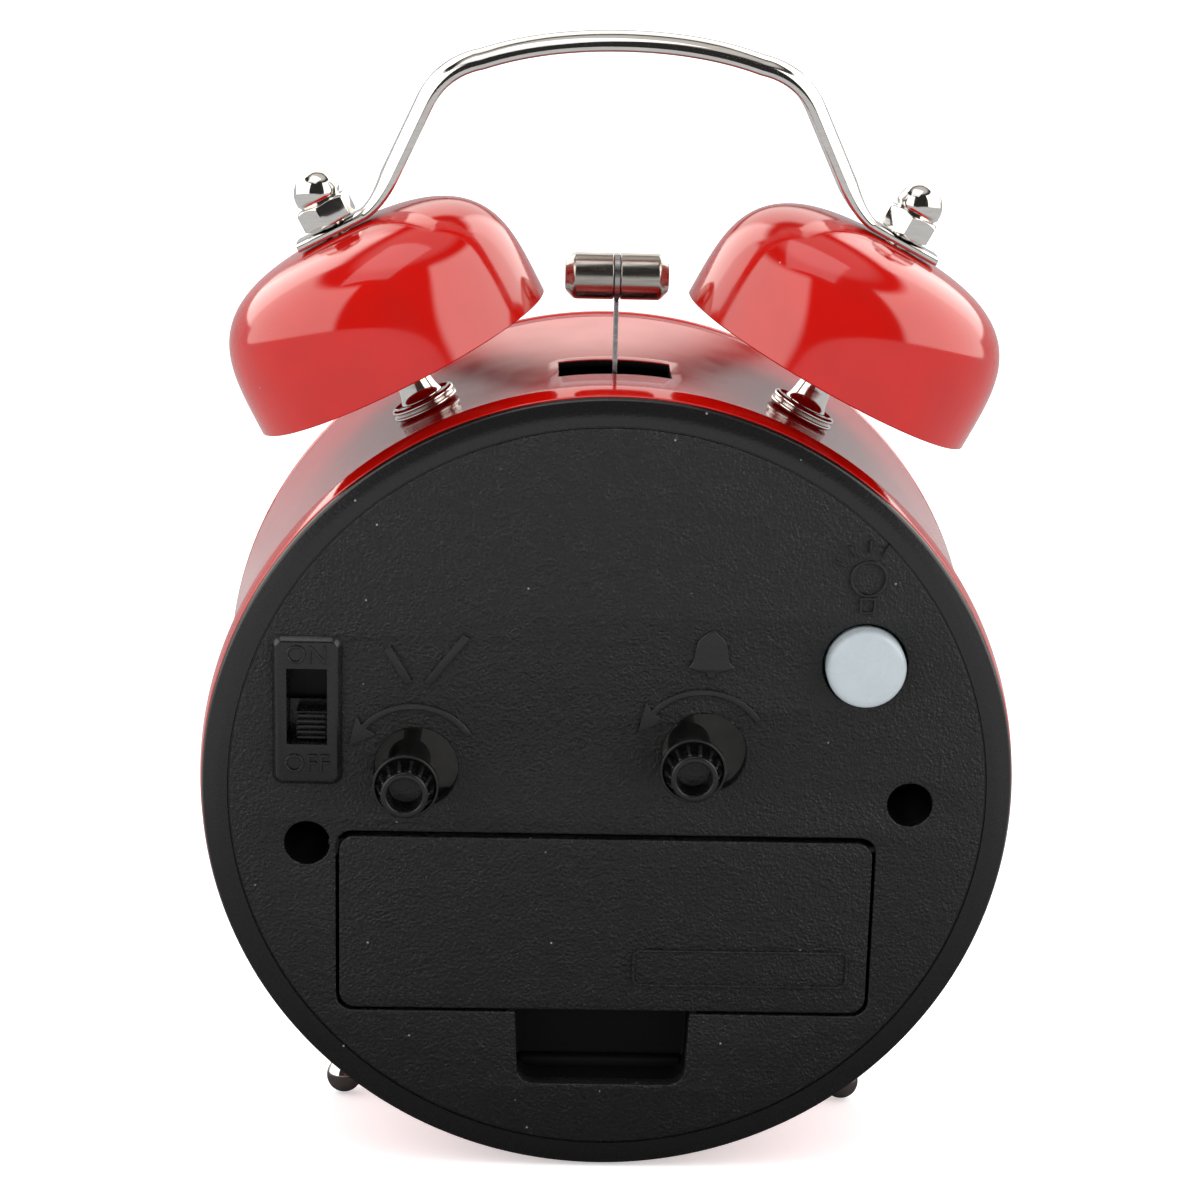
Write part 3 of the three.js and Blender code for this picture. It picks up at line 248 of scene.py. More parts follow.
def build_peel() -> bpy.types.NodeTree:
    """Long soft waves of sprayed enamel, with a few grains of dust under it."""
    effect = Effect("enamel_peel", {"Scale": 260.0}, ("Height", "Tone"))
    nodes, place, scale = effect.opened()
    waves = nodes.add("TexNoise", Vector=place, Scale=scale, Detail=1.5, Roughness=0.4)
    nibs = nodes.add("TexVoronoi", Vector=place, Scale=nodes.math("MULTIPLY", scale, 1.1))
    dust = nodes.ramp(nibs.outputs["Distance"], 0.0, 0.07, 1.0, 0.0)
    rare = nodes.ramp(nodes.add("TexWhiteNoise", Vector=nibs.outputs["Position"]).outputs["Value"],
                      0.90, 0.93)
    effect.give("Height", nodes.math("ADD", waves.outputs["Fac"],
                                     nodes.math("MULTIPLY", nodes.math("MULTIPLY", dust, rare), 0.5)))
    effect.give("Tone", waves.outputs["Fac"])
    return effect.group


def build_pits() -> bpy.types.NodeTree:
    """Plated steel: faint waves from the buffing wheel, small pits and hairlines."""
    effect = Effect("plating_pits", {"Scale": 900.0}, ("Height", "Tone"))
    nodes, place, scale = effect.opened()
    waves = nodes.add("TexNoise", Vector=place, Scale=nodes.math("MULTIPLY", scale, 0.22), Detail=2.0)
    cells = nodes.add("TexVoronoi", Vector=place, Scale=scale)
    pit = nodes.ramp(cells.outputs["Distance"], 0.0, 0.16, -1.0, 0.0)
    rare = nodes.ramp(nodes.add("TexWhiteNoise", Vector=cells.outputs["Position"]).outputs["Value"],
                      0.86, 0.9)
    stretch = nodes.add("Mapping", Vector=place)
    stretch.inputs["Scale"].default_value = (0.25, 1.0, 3.0)
    hair = nodes.add("TexNoise", Vector=stretch.outputs[0], Scale=nodes.math("MULTIPLY", scale, 1.5),
                     Detail=4.0)
    deep = nodes.math("MULTIPLY", nodes.math("MULTIPLY", pit, rare), 1.4)
    effect.give("Height", nodes.math("ADD", waves.outputs["Fac"], deep))
    effect.give("Tone", hair.outputs["Fac"])
    return effect.group


def build_brushed() -> bpy.types.NodeTree:
    """Long fine lines drawn along x."""
    effect = Effect("brushed_lines", {"Scale": 2500.0}, ("Height", "Tone"))
    nodes, place, scale = effect.opened()
    stretch = nodes.add("Mapping", Vector=place)
    stretch.inputs["Scale"].default_value = (0.03, 1.0, 1.0)
    lines = nodes.add("TexNoise", Vector=stretch.outputs[0], Scale=scale, Detail=3.0)
    effect.give("Height", lines.outputs["Fac"])
    effect.give("Tone", lines.outputs["Fac"])
    return effect.group


def build_paper() -> bpy.types.NodeTree:
    """Card under a satin print: short fibres and a soft mottle."""
    effect = Effect("card_fibre", {"Scale": 1800.0}, ("Height", "Tone"))
    nodes, place, scale = effect.opened()
    fibre = nodes.add("TexNoise", Vector=place, Scale=scale, Detail=4.0, Distortion=1.2)
    mottle = nodes.add("TexNoise", Vector=place, Scale=nodes.math("MULTIPLY", scale, 0.06))
    effect.give("Height", fibre.outputs["Fac"])
    effect.give("Tone", mottle.outputs["Fac"])
    return effect.group


def build_dust() -> bpy.types.NodeTree:
    """Loose pale specks of dust, more of them in some places than in others."""
    effect = Effect("dust_specks", {"Scale": 700.0, "Amount": 0.2}, ("Mask",))
    nodes, place, scale = effect.opened()
    cells = nodes.add("TexVoronoi", Vector=place, Scale=scale)
    chance = nodes.add("TexWhiteNoise", Vector=cells.outputs["Position"]).outputs["Value"]
    drift = nodes.add("TexNoise", Vector=place, Scale=nodes.math("MULTIPLY", scale, 0.03)).outputs["Fac"]
    kept = nodes.math("LESS_THAN", chance, nodes.math("MULTIPLY", drift, effect.take("Amount")))
    dot = nodes.ramp(cells.outputs["Distance"], 0.03, 0.11, 1.0, 0.0)
    effect.give("Mask", nodes.math("MULTIPLY", dot, kept))
    return effect.group


class Effects:
    """The shader groups that the finishes share, each built once."""

    def __init__(self) -> None:
        """Builds every group."""
        self.textures = {
            Texture.GRAIN: build_grain(),
            Texture.PEEL: build_peel(),
            Texture.PITTED: build_pits(),
            Texture.BRUSHED: build_brushed(),
            Texture.PAPER: build_paper(),
        }
        self.dust = build_dust()


# ------------------------------------------------------------------ finishes

TONE_SPAN = (0.3, 0.7)
DUST_SHARE = 0.6
DUST_COLOUR = (0.42, 0.42, 0.40, 1.0)
COAT_ROUGHNESS = 0.03
SOFT_RADIUS = (0.002, 0.002, 0.002)


@dataclass(frozen=True)
class Finish:
    """One finish of the clock, with its colour, gloss and surface texture."""

    name: str
    slot: str
    colour: tuple[float, float, float]
    shade: tuple[float, float, float]
    texture: Texture
    scale: float
    depth: float
    roughness: float
    spread: float = 0.05
    metallic: float = 0.0
    coat: float = 0.0
    specular: float = 0.5
    dust: float = 0.0
    soft: float = 0.0
    see_through: float = 0.0
    detail_distance: float = 0.0001

    def build(self, effects: Effects) -> bpy.types.Material:
        """Builds the material.

        Args:
            effects: the shared shader groups.

        Returns:
            The node material.
        """
        material = bpy.data.materials.new(self.name)
        material.use_nodes = True
        nodes = Nodes(material.node_tree)
        shader = material.node_tree.nodes["Principled BSDF"]
        place = nodes.add("TexCoord").outputs["Object"]
        group = nodes.add("Group")
        group.node_tree = effects.textures[self.texture]
        nodes.feed(group, "Vector", place)
        nodes.feed(group, "Scale", self.scale)
        tone = nodes.ramp(group.outputs["Tone"], *TONE_SPAN)
        colour = nodes.mix(tone, (*self.shade, 1.0), (*self.colour, 1.0))
        rough = nodes.ramp(group.outputs["Tone"], *TONE_SPAN,
                           self.roughness + self.spread, self.roughness - self.spread)
        if self.dust > 0.0:
            specks = nodes.add("Group")
            specks.node_tree = effects.dust
            nodes.feed(specks, "Vector", place)
            nodes.feed(specks, "Amount", self.dust)
            mask = specks.outputs["Mask"]
            colour = nodes.mix(nodes.math("MULTIPLY", mask, DUST_SHARE), colour, DUST_COLOUR)
        bump = nodes.add("Bump", Height=group.outputs["Height"], Strength=self.depth)
        bump.inputs["Distance"].default_value = self.detail_distance
        nodes.feed(shader, "Base Color", colour)
        nodes.feed(shader, "Roughness", rough)
        nodes.feed(shader, "Normal", bump.outputs["Normal"])
        for title, value in (("Metallic", self.metallic), ("Coat Weight", self.coat),
                             ("Coat Roughness", COAT_ROUGHNESS), ("Specular IOR Level", self.specular),
                             ("Subsurface Weight", self.soft), ("Subsurface Radius", SOFT_RADIUS),
                             ("Transmission Weight", self.see_through)):
            shader.inputs[title].default_value = value
        return material


FINISHES = (
    Finish("red_enamel", "red_paint", (0.46, 0.0035, 0.0012), (0.42, 0.003, 0.001), Texture.PEEL,
           240.0, 0.05, 0.10, 0.02, specular=0.85, dust=0.05),
    Finish("grained_black", "black_plastic", (0.010, 0.010, 0.0105), (0.005, 0.005, 0.0055),
           Texture.GRAIN, 2600.0, 0.85, 0.36, 0.06, dust=0.16, specular=0.50, detail_distance=0.00022),
    Finish("smooth_black", "black_plastic", (0.008, 0.008, 0.0085), (0.006, 0.006, 0.0065),
           Texture.GRAIN, 2600.0, 0.15, 0.24, 0.05, dust=0.12, specular=0.5),
    # painted shade: a darker, duller copy of the black plastic for the hollows of the cover and the inside of
    # the case, where shade falls
    Finish("shaded_black", "black_plastic", (0.005, 0.005, 0.005), (0.004, 0.004, 0.004),
           Texture.GRAIN, 1500.0, 0.2, 0.42, 0.05, specular=0.2),
    Finish("nickel_plate", "nickel", (0.80, 0.78, 0.76), (0.70, 0.68, 0.65), Texture.PITTED,
           800.0, 0.14, 0.09, 0.04, metallic=1.0),
    Finish("satin_nickel", "nickel", (0.52, 0.49, 0.45), (0.40, 0.37, 0.33), Texture.PITTED,
           900.0, 0.25, 0.22, 0.06, metallic=1.0),
    Finish("plain_steel", "steel", (0.52, 0.52, 0.53), (0.40, 0.40, 0.41), Texture.BRUSHED,
           2500.0, 0.2, 0.30, 0.08, metallic=1.0),
    Finish("turned_brass", "brass", (0.70, 0.50, 0.22), (0.55, 0.38, 0.16), Texture.BRUSHED,
           2500.0, 0.15, 0.28, 0.06, metallic=1.0),
    Finish("milk_white", "white_plastic", (0.43, 0.48, 0.505), (0.41, 0.46, 0.485), Texture.PEEL,
           500.0, 0.05, 0.28, 0.03, soft=0.6, specular=0.5),
    Finish("gear_white", "white_plastic", (0.80, 0.80, 0.76), (0.72, 0.72, 0.68), Texture.PEEL,
           700.0, 0.1, 0.38, 0.05),
    Finish("movement_grey", "grey_plastic", (0.46, 0.47, 0.48), (0.38, 0.39, 0.40), Texture.GRAIN,
           1700.0, 0.3, 0.5, 0.05),
    Finish("dial_card", "dial_paper", (0.86, 0.85, 0.81), (0.82, 0.81, 0.76), Texture.PAPER,
           1800.0, 0.06, 0.6, 0.05),
    Finish("dial_ink", "black_lacquer", (0.012, 0.012, 0.014), (0.02, 0.02, 0.022), Texture.PAPER,
           1800.0, 0.05, 0.45, 0.05),
    Finish("black_lacquer", "black_lacquer", (0.012, 0.012, 0.014), (0.02, 0.02, 0.02), Texture.PEEL,
           900.0, 0.06, 0.3, 0.04),
    Finish("red_lacquer", "red_lacquer", (0.55, 0.015, 0.01), (0.45, 0.012, 0.008), Texture.PEEL,
           900.0, 0.06, 0.3, 0.04),
    Finish("clear_sheet", "clear_lens", (0.96, 0.98, 0.98), (0.94, 0.97, 0.97), Texture.PEEL,
           90.0, 0.01, 0.02, 0.01, see_through=1.0),
    Finish("board_green", "board_green", (0.03, 0.16, 0.06), (0.02, 0.10, 0.04), Texture.GRAIN,
           900.0, 0.2, 0.4, 0.05),
    Finish("copper_wire", "copper", (0.62, 0.27, 0.13), (0.45, 0.17, 0.08), Texture.BRUSHED,
           5000.0, 0.8, 0.3, 0.05, metallic=1.0),
    Finish("cell_sleeve", "cell_wrap", (0.03, 0.06, 0.25), (0.025, 0.05, 0.20), Texture.PEEL,
           300.0, 0.1, 0.25, 0.04),
)


class Wardrobe:
    """Every finish's material by name, and the record's slot it belongs to."""

    def __init__(self) -> None:
        """Builds all the materials."""
        effects = Effects()
        self.slots = {finish.name: finish.slot for finish in FINISHES}
        self.materials = {finish.name: finish.build(effects) for finish in FINISHES}

    def dress(self, piece: bpy.types.Object, *finishes: str) -> bpy.types.Object:
        """Puts finishes on a piece, in the order of its material slots.

        Args:
            piece: the mesh object.
            *finishes: names of finishes.

        Returns:
            The piece.
        """
        piece.data.materials.clear()
        for finish in finishes:
            piece.data.materials.append(self.materials[finish])
        return piece


# ------------------------------------------------------------------ mesh making

def arc(centre: Sequence[float], radius: float, start: float, end: float, steps: int) -> list[tuple]:
    """Points of an arc, with its angles in degrees."""
    points = []
    for i in range(steps + 1):
        angle = math.radians(start + (end - start) * i / steps)
        points.append((centre[0] + radius * math.cos(angle), centre[1] + radius * math.sin(angle)))
    return points


def circle(centre: Sequence[float], radius: float, steps: int = 96) -> list[tuple]:
    """Points of a full circle, without the repeated last one."""
    return arc(centre, radius, 0.0, 360.0, steps)[:-1]


def eased(points: Profile, radius: float, closed: bool = False, steps: int = 4) -> list[tuple]:
    """Rounds the corners of a line of points.

    Args:
        points: (a, b) corners, or (a, b, r) where a corner has its own radius.
        radius: the rounding where a corner names none.
        closed: whether the last point joins the first.
        steps: pieces of each rounding.

    Returns:
        The rounded line.
    """
    out: list[tuple] = []
    count = len(points)
    for i, corner in enumerate(points):
        here = Vector(corner[:2])
        reach = corner[2] if len(corner) > 2 else radius
        if reach <= 0.0 or (not closed and i in (0, count - 1)):
            out.append(tuple(here))
            continue
        back = Vector(points[i - 1][:2]) - here
        ahead = Vector(points[(i + 1) % count][:2]) - here
        reach = min(reach, 0.48 * back.length, 0.48 * ahead.length)
        start = here + back.normalized() * reach
        end = here + ahead.normalized() * reach
        for k in range(steps + 1):
            t = k / steps
            point = start * (1 - t) ** 2 + here * 2 * t * (1 - t) + end * t ** 2
            out.append(tuple(point))
    return out


def rounded_box(x0: float, y0: float, x1: float, y1: float, radius: float) -> list[tuple]:
    """Outline of a rectangle with round corners."""
    out: list[tuple] = []
    for x, y, start in ((x1, y0, -90), (x1, y1, 0), (x0, y1, 90), (x0, y0, 180)):
        centre = (x + (radius if x == x0 else -radius), y + (radius if y == y0 else -radius))
        out.extend(arc(centre, radius, start, start + 90, 8))
    return out


def finish_mesh(name: str, mesh: bpy.types.Mesh, sharp: float = 32.0) -> bpy.types.Object:
    """Makes an object of a mesh, smooth but for its sharp edges.

    Args:
        name: the piece's name.
        mesh: the mesh, already in place.
        sharp: angle in degrees above which an edge stays sharp.

    Returns:
        The linked object.
    """
    mesh.name = name
    mesh.shade_smooth()
    mesh.set_sharp_from_angle(angle=math.radians(sharp))
    piece = bpy.data.objects.new(name, mesh)
    bpy.context.scene.collection.objects.link(piece)
    return piece


def close_mesh(name: str, shape: bmesh.types.BMesh, place: Matrix,
               sharp: float = 32.0) -> bpy.types.Object:
    """Turns a bmesh drawn in millimetres into a piece in the room."""
    bmesh.ops.remove_doubles(shape, verts=shape.verts, dist=WELD)
    bmesh.ops.recalc_face_normals(shape, faces=shape.faces)
    shape.transform(place)
    mesh = bpy.data.meshes.new(name)
    shape.to_mesh(mesh)
    shape.free()
    return finish_mesh(name, mesh, sharp)


def loft(shape: bmesh.types.BMesh, rings: Sequence[Sequence[bmesh.types.BMVert]]) -> None:
    """Walls in the space between rings of equally many corners, each joined to the next."""
    for first, second in zip(rings, rings[1:]):
        for i in range(len(first)):
            j = (i + 1) % len(first)
            shape.faces.new((first[i], first[j], second[j], second[i]))


def turned(name: str, profile: Profile, place: Matrix, segments: int = 128,
           closed: bool = False) -> bpy.types.Object:
    """A piece turned about its z.

    Args:
        name: the piece's name.
        profile: points of (radius, z); a radius of nothing closes the piece on its axis.
        place: where the turned part goes.
        segments: faces round.
        closed: whether the last point joins the first.

    Returns:
        The piece.
    """
    shape = bmesh.new()
    rings = []
    for radius, height in profile:
        ring = []
        for i in range(1 if radius < ON_AXIS else segments):
            angle = 2.0 * math.pi * i / segments
            ring.append(shape.verts.new((radius * math.cos(angle), radius * math.sin(angle), height)))
        rings.append(ring)
    pairs = list(zip(rings, rings[1:]))
    if closed:
        pairs.append((rings[-1], rings[0]))
    for low, high in pairs:
        if len(low) == len(high) == 1:
            continue
        for i in range(segments):
            k = (i + 1) % segments
            if len(low) == 1:
                shape.faces.new((low[0], high[i], high[k]))
            elif len(high) == 1:
                shape.faces.new((low[i], low[k], high[0]))
            else:
                shape.faces.new((low[i], low[k], high[k], high[i]))
    return close_mesh(name, shape, place)


def mesh_of(source: bpy.types.Object) -> bpy.types.Mesh:
    """The evaluated mesh of an object, which is then removed."""
    bpy.context.view_layer.update()
    graph = bpy.context.evaluated_depsgraph_get()
    mesh = bpy.data.meshes.new_from_object(source.evaluated_get(graph))
    bpy.data.objects.remove(source)
    return mesh


def redrawn(name: str, source: bpy.types.Object, place: Matrix) -> bpy.types.Object:
    """Turns a curve, a text or a node piece drawn in millimetres into a plain piece in the room."""
    shape = bmesh.new()
    shape.from_mesh(mesh_of(source))
    return close_mesh(name, shape, place)


def settle(piece: bpy.types.Object, sharp: float = 32.0) -> bpy.types.Object:
    """Applies a piece's modifiers and gives the plain piece of the same name."""
    name = piece.name
    mesh = mesh_of(piece)
    mesh.materials.clear()
    return finish_mesh(name, mesh, sharp)


def soften(piece: bpy.types.Object, width: float, segments: int = 2, angle: float = 40.0) -> bpy.types.Object:
    """Rounds a piece's sharp edges by a width in millimetres."""
    bevel = piece.modifiers.new("edge", "BEVEL")
    bevel.width = width * MM
    bevel.segments = segments
    bevel.limit_method = "ANGLE"
    bevel.angle_limit = math.radians(angle)
    bevel.use_clamp_overlap = True
    return settle(piece)


def carve(piece: bpy.types.Object, tools: Sequence[bpy.types.Object],
          operation: str = "DIFFERENCE") -> bpy.types.Object:
    """Cuts tool bodies out of a piece, or keeps what they share with it."""
    for tool in tools:
        cut = piece.modifiers.new("cut", "BOOLEAN")
        cut.operation = operation
        cut.solver = "EXACT"
        cut.object = tool
    done = settle(piece)
    for tool in tools:
        bpy.data.objects.remove(tool)
    return done


def flat_piece(name: str, outlines: Sequence[Profile], low: float, high: float, edge: float,
               place: Matrix, steps: int = 3) -> bpy.types.Object:
    """A flat plate with round edges, cut from outlines of which the inner ones are holes.

    Args:
        name: the piece's name.
        outlines: the outer outline and the holes.
        low: height of its underside.
        high: height of its face.
        edge: rounding of its edges.
        place: drawing frame to room.
        steps: pieces of the edge's rounding.

    Returns:
        The plate.
    """
    curve = bpy.data.curves.new(name, "CURVE")
    curve.dimensions = "2D"
    curve.fill_mode = "BOTH"
    curve.extrude = (high - low) / 2 - edge
    curve.bevel_depth = edge
    curve.bevel_resolution = steps
    curve.offset = -edge
    for outline in outlines:
        spline = curve.splines.new("POLY")
        spline.points.add(len(outline) - 1)
        for point, (u, v) in zip(spline.points, outline):
            point.co = (u, v, 0.0, 1.0)
        spline.use_cyclic_u = True
    source = bpy.data.objects.new(name, curve)
    bpy.context.scene.collection.objects.link(source)
    return redrawn(name, source, place @ Matrix.Translation((0.0, 0.0, (low + high) / 2)))


def merge(name: str, parts: Sequence[bpy.types.Object], sharp: float = 32.0) -> bpy.types.Object:
    """Joins several plain pieces into one, keeping each one's place."""
    shape = bmesh.new()
    for part in parts:
        shape.from_mesh(part.data)
        bpy.data.objects.remove(part)
    mesh = bpy.data.meshes.new(name)
    shape.to_mesh(mesh)
    shape.free()
    return finish_mesh(name, mesh, sharp)


def block(name: str, low: Sequence[float], high: Sequence[float], place: Matrix) -> bpy.types.Object:
    """A square-edged body between two corners, for cutting with or for softening later."""
    shape = bmesh.new()
    bmesh.ops.create_cube(shape, size=1.0)
    for vert in shape.verts:
        for axis in range(3):
            vert.co[axis] = high[axis] if vert.co[axis] > 0 else low[axis]
    return close_mesh(name, shape, place)


def lettering(name: str, words: str, size: float, centre: Sequence[float], rise: float,
              place: Matrix, edge: float = 0.0) -> bpy.types.Object:
    """Plain raised letters or numerals, centred on a point."""
    text = bpy.data.curves.new(name, "FONT")
    text.body = words
    text.size = size
    text.align_x = "CENTER"
    text.align_y = "CENTER"
    text.extrude = rise - edge
    text.bevel_depth = edge
    text.offset = -edge
    source = bpy.data.objects.new(name, text)
    bpy.context.scene.collection.objects.link(source)
    return redrawn(name, source, place @ Matrix.Translation((*centre, 0.0)))


class Maker:
    """What every sub-assembly needs: the clock's seat, the finishes and the way to hand a piece in."""

    def __init__(self, seat: Seat, wardrobe: Wardrobe) -> None:
        """Keeps the seat and the finishes."""
        self.seat = seat
        self.wardrobe = wardrobe

    def hand_in(self, piece: bpy.types.Object, body: str, finish: str, *nodes: str) -> bpy.types.Object:
        """Dresses a piece, sets it on its body and hides the CAD nodes it stands for.

        Args:
            piece: the finished mesh object.
            body: the body it rides on.
            finish: its finish.
            *nodes: CAD nodes that it replaces.

        Returns:
            The piece.
        """
        self.wardrobe.dress(piece, finish)
        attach(piece, body)
        if nodes:
            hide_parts(*nodes)
        LOG.info("%s rides on %s in %s, %d faces", piece.name, body, finish, len(piece.data.polygons))
        return piece


# ------------------------------------------------------------------ the painted case

@dataclass
class Case:
    """The painted barrel with its rear band, front bezel and hammer slot."""

    radius: float = 45.0
    wall: float = 0.8
    ridge: tuple[float, float] = (45.2, -4.5)
    lip: tuple[float, float] = (44.72, -1.34)
    front: float = -43.9
    flare_start: float = -12.5
    flare: float = 1.0
    flare_rows: int = 14
    slot_half_width: float = 6.2
    slot_span: tuple[float, float] = (-20.0, -12.0)
    bezel_radius: float = 46.1
    bezel_front: float = -47.95
    bezel_opening: float = 41.0

    def build(self, maker: Maker) -> None:
        """Builds the barrel and the bezel."""
        barrel = maker.hand_in(self.make_barrel(maker.seat), "clock", "red_enamel", "case_shell")
        # painted shade: the barrel's inside is made near-black, standing for the shadow inside the case
        self.paint_inner_shade(barrel, maker.seat, maker.wardrobe.materials["shaded_black"])
        maker.hand_in(self.make_bezel(maker.seat), "clock", "red_enamel", "front_bezel")

    def paint_inner_shade(self, barrel: bpy.types.Object, seat: Seat, material: bpy.types.Material) -> None:
        """Paints shade on the inner faces of the barrel and the cut edges of its slot with a near-black
        material.

        Args:
            barrel: the barrel, already in its enamel.
            seat: the clock's frame.
            material: the near-black material that stands for the shade inside the case.
        """
        barrel.data.materials.append(material)
        back = seat.clock.inverted()
        turn = back.to_3x3().normalized()
        for face in barrel.data.polygons:
            middle, normal = back @ face.center, turn @ face.normal
            outward = Vector((middle.x, 0.0, middle.z)).normalized()
            if middle.y < self.ridge[1] and normal.dot(outward) < 0.3:
                face.material_index = 1

    def flared(self, y: float) -> float:
        """Radius of the barrel at a depth: straight at the back, then opening gently to the front."""
        along = max(0.0, (self.flare_start - y) / (self.flare_start - self.front))
        return self.radius + self.flare * along * along

    def make_barrel(self, seat: Seat) -> bpy.types.Object:
        """The rolled barrel: a sheet wall with the slot cut in its roof.

        Args:
            seat: the clock's frame.

        Returns:
            The barrel.
        """
        ridge_radius, ridge_y = self.ridge
        lip_radius, lip_y = self.lip
        near, far = self.slot_span[1], self.slot_span[0]
        outline = eased([(lip_radius - self.wall, lip_y - 0.35), (lip_radius, lip_y, 0.28),
                         (ridge_radius, ridge_y, 0.35), (self.radius, ridge_y - 1.1, 0.3),
                         (self.radius, near)], 0.2)
        outline += [(self.flared((near + far) / 2), (near + far) / 2), (self.flared(far), far)]
        for i in range(1, self.flare_rows + 1):
            y = far + (self.front - far) * i / self.flare_rows
            outline.append((self.flared(y), y))
        half = math.degrees(math.asin(self.slot_half_width / self.radius))
        across, around = 12, 216
        angles = [90.0 - half + 2 * half * i / across for i in range(across + 1)]
        angles += [90.0 + half + (360.0 - 2 * half) * i / around for i in range(1, around)]
        shape = bmesh.new()
        rows = []
        for radius, y in outline:
            row = []
            for angle in angles:
                turn = math.radians(angle)
                row.append(shape.verts.new((radius * math.cos(turn), y, radius * math.sin(turn))))
            rows.append(row)
        for k in range(len(rows) - 1):
            in_slot = far - 0.01 <= outline[k + 1][1] and outline[k][1] <= near + 0.01
            for i in range(len(angles)):
                if in_slot and i < across:
                    continue
                j = (i + 1) % len(angles)
                shape.faces.new((rows[k][i], rows[k][j], rows[k + 1][j], rows[k + 1][i]))
        bmesh.ops.recalc_face_normals(shape, faces=shape.faces)
        middle = shape.faces[:][len(shape.faces) // 2]
        if middle.normal.dot(Vector((middle.calc_center_median().x, 0, middle.calc_center_median().z))) < 0:
            bmesh.ops.reverse_faces(shape, faces=shape.faces)
        shape.transform(seat.clock)
        mesh = bpy.data.meshes.new("barrel")
        shape.to_mesh(mesh)
        shape.free()
        piece = finish_mesh("barrel", mesh)
        wall = piece.modifiers.new("wall", "SOLIDIFY")
        wall.thickness = self.wall * MM
        wall.offset = -1.0
        return soften(settle(piece, 36.0), 0.12, 2, 60.0)

    def make_bezel(self, seat: Seat) -> bpy.types.Object:
        """The rolled front bezel that holds the lens."""
        front, back = self.bezel_front, self.front - 0.1
        profile = eased([(self.radius - 0.4, back, 0.1), (self.bezel_radius - 0.4, back, 0.3),
                         (self.bezel_radius, back - 0.9, 0.5), (self.bezel_radius, front + 2.4, 1.4),
                         (self.bezel_radius - 1.3, front + 0.5, 0.8), (self.bezel_radius - 2.6, front, 1.0),
                         (self.bezel_opening + 0.7, front + 0.15, 0.5),
                         (self.bezel_opening, front + 0.9, 0.3), (self.bezel_opening, front + 1.6, 0.1),
                         (self.radius - 0.4, front + 1.6, 0.1)], 0.3, closed=True, steps=5)
        return turned("bezel", profile, seat.clock @ Matrix.Rotation(-math.pi / 2, 4, "X"), 192, closed=True)


# ------------------------------------------------------------------ the moulded back

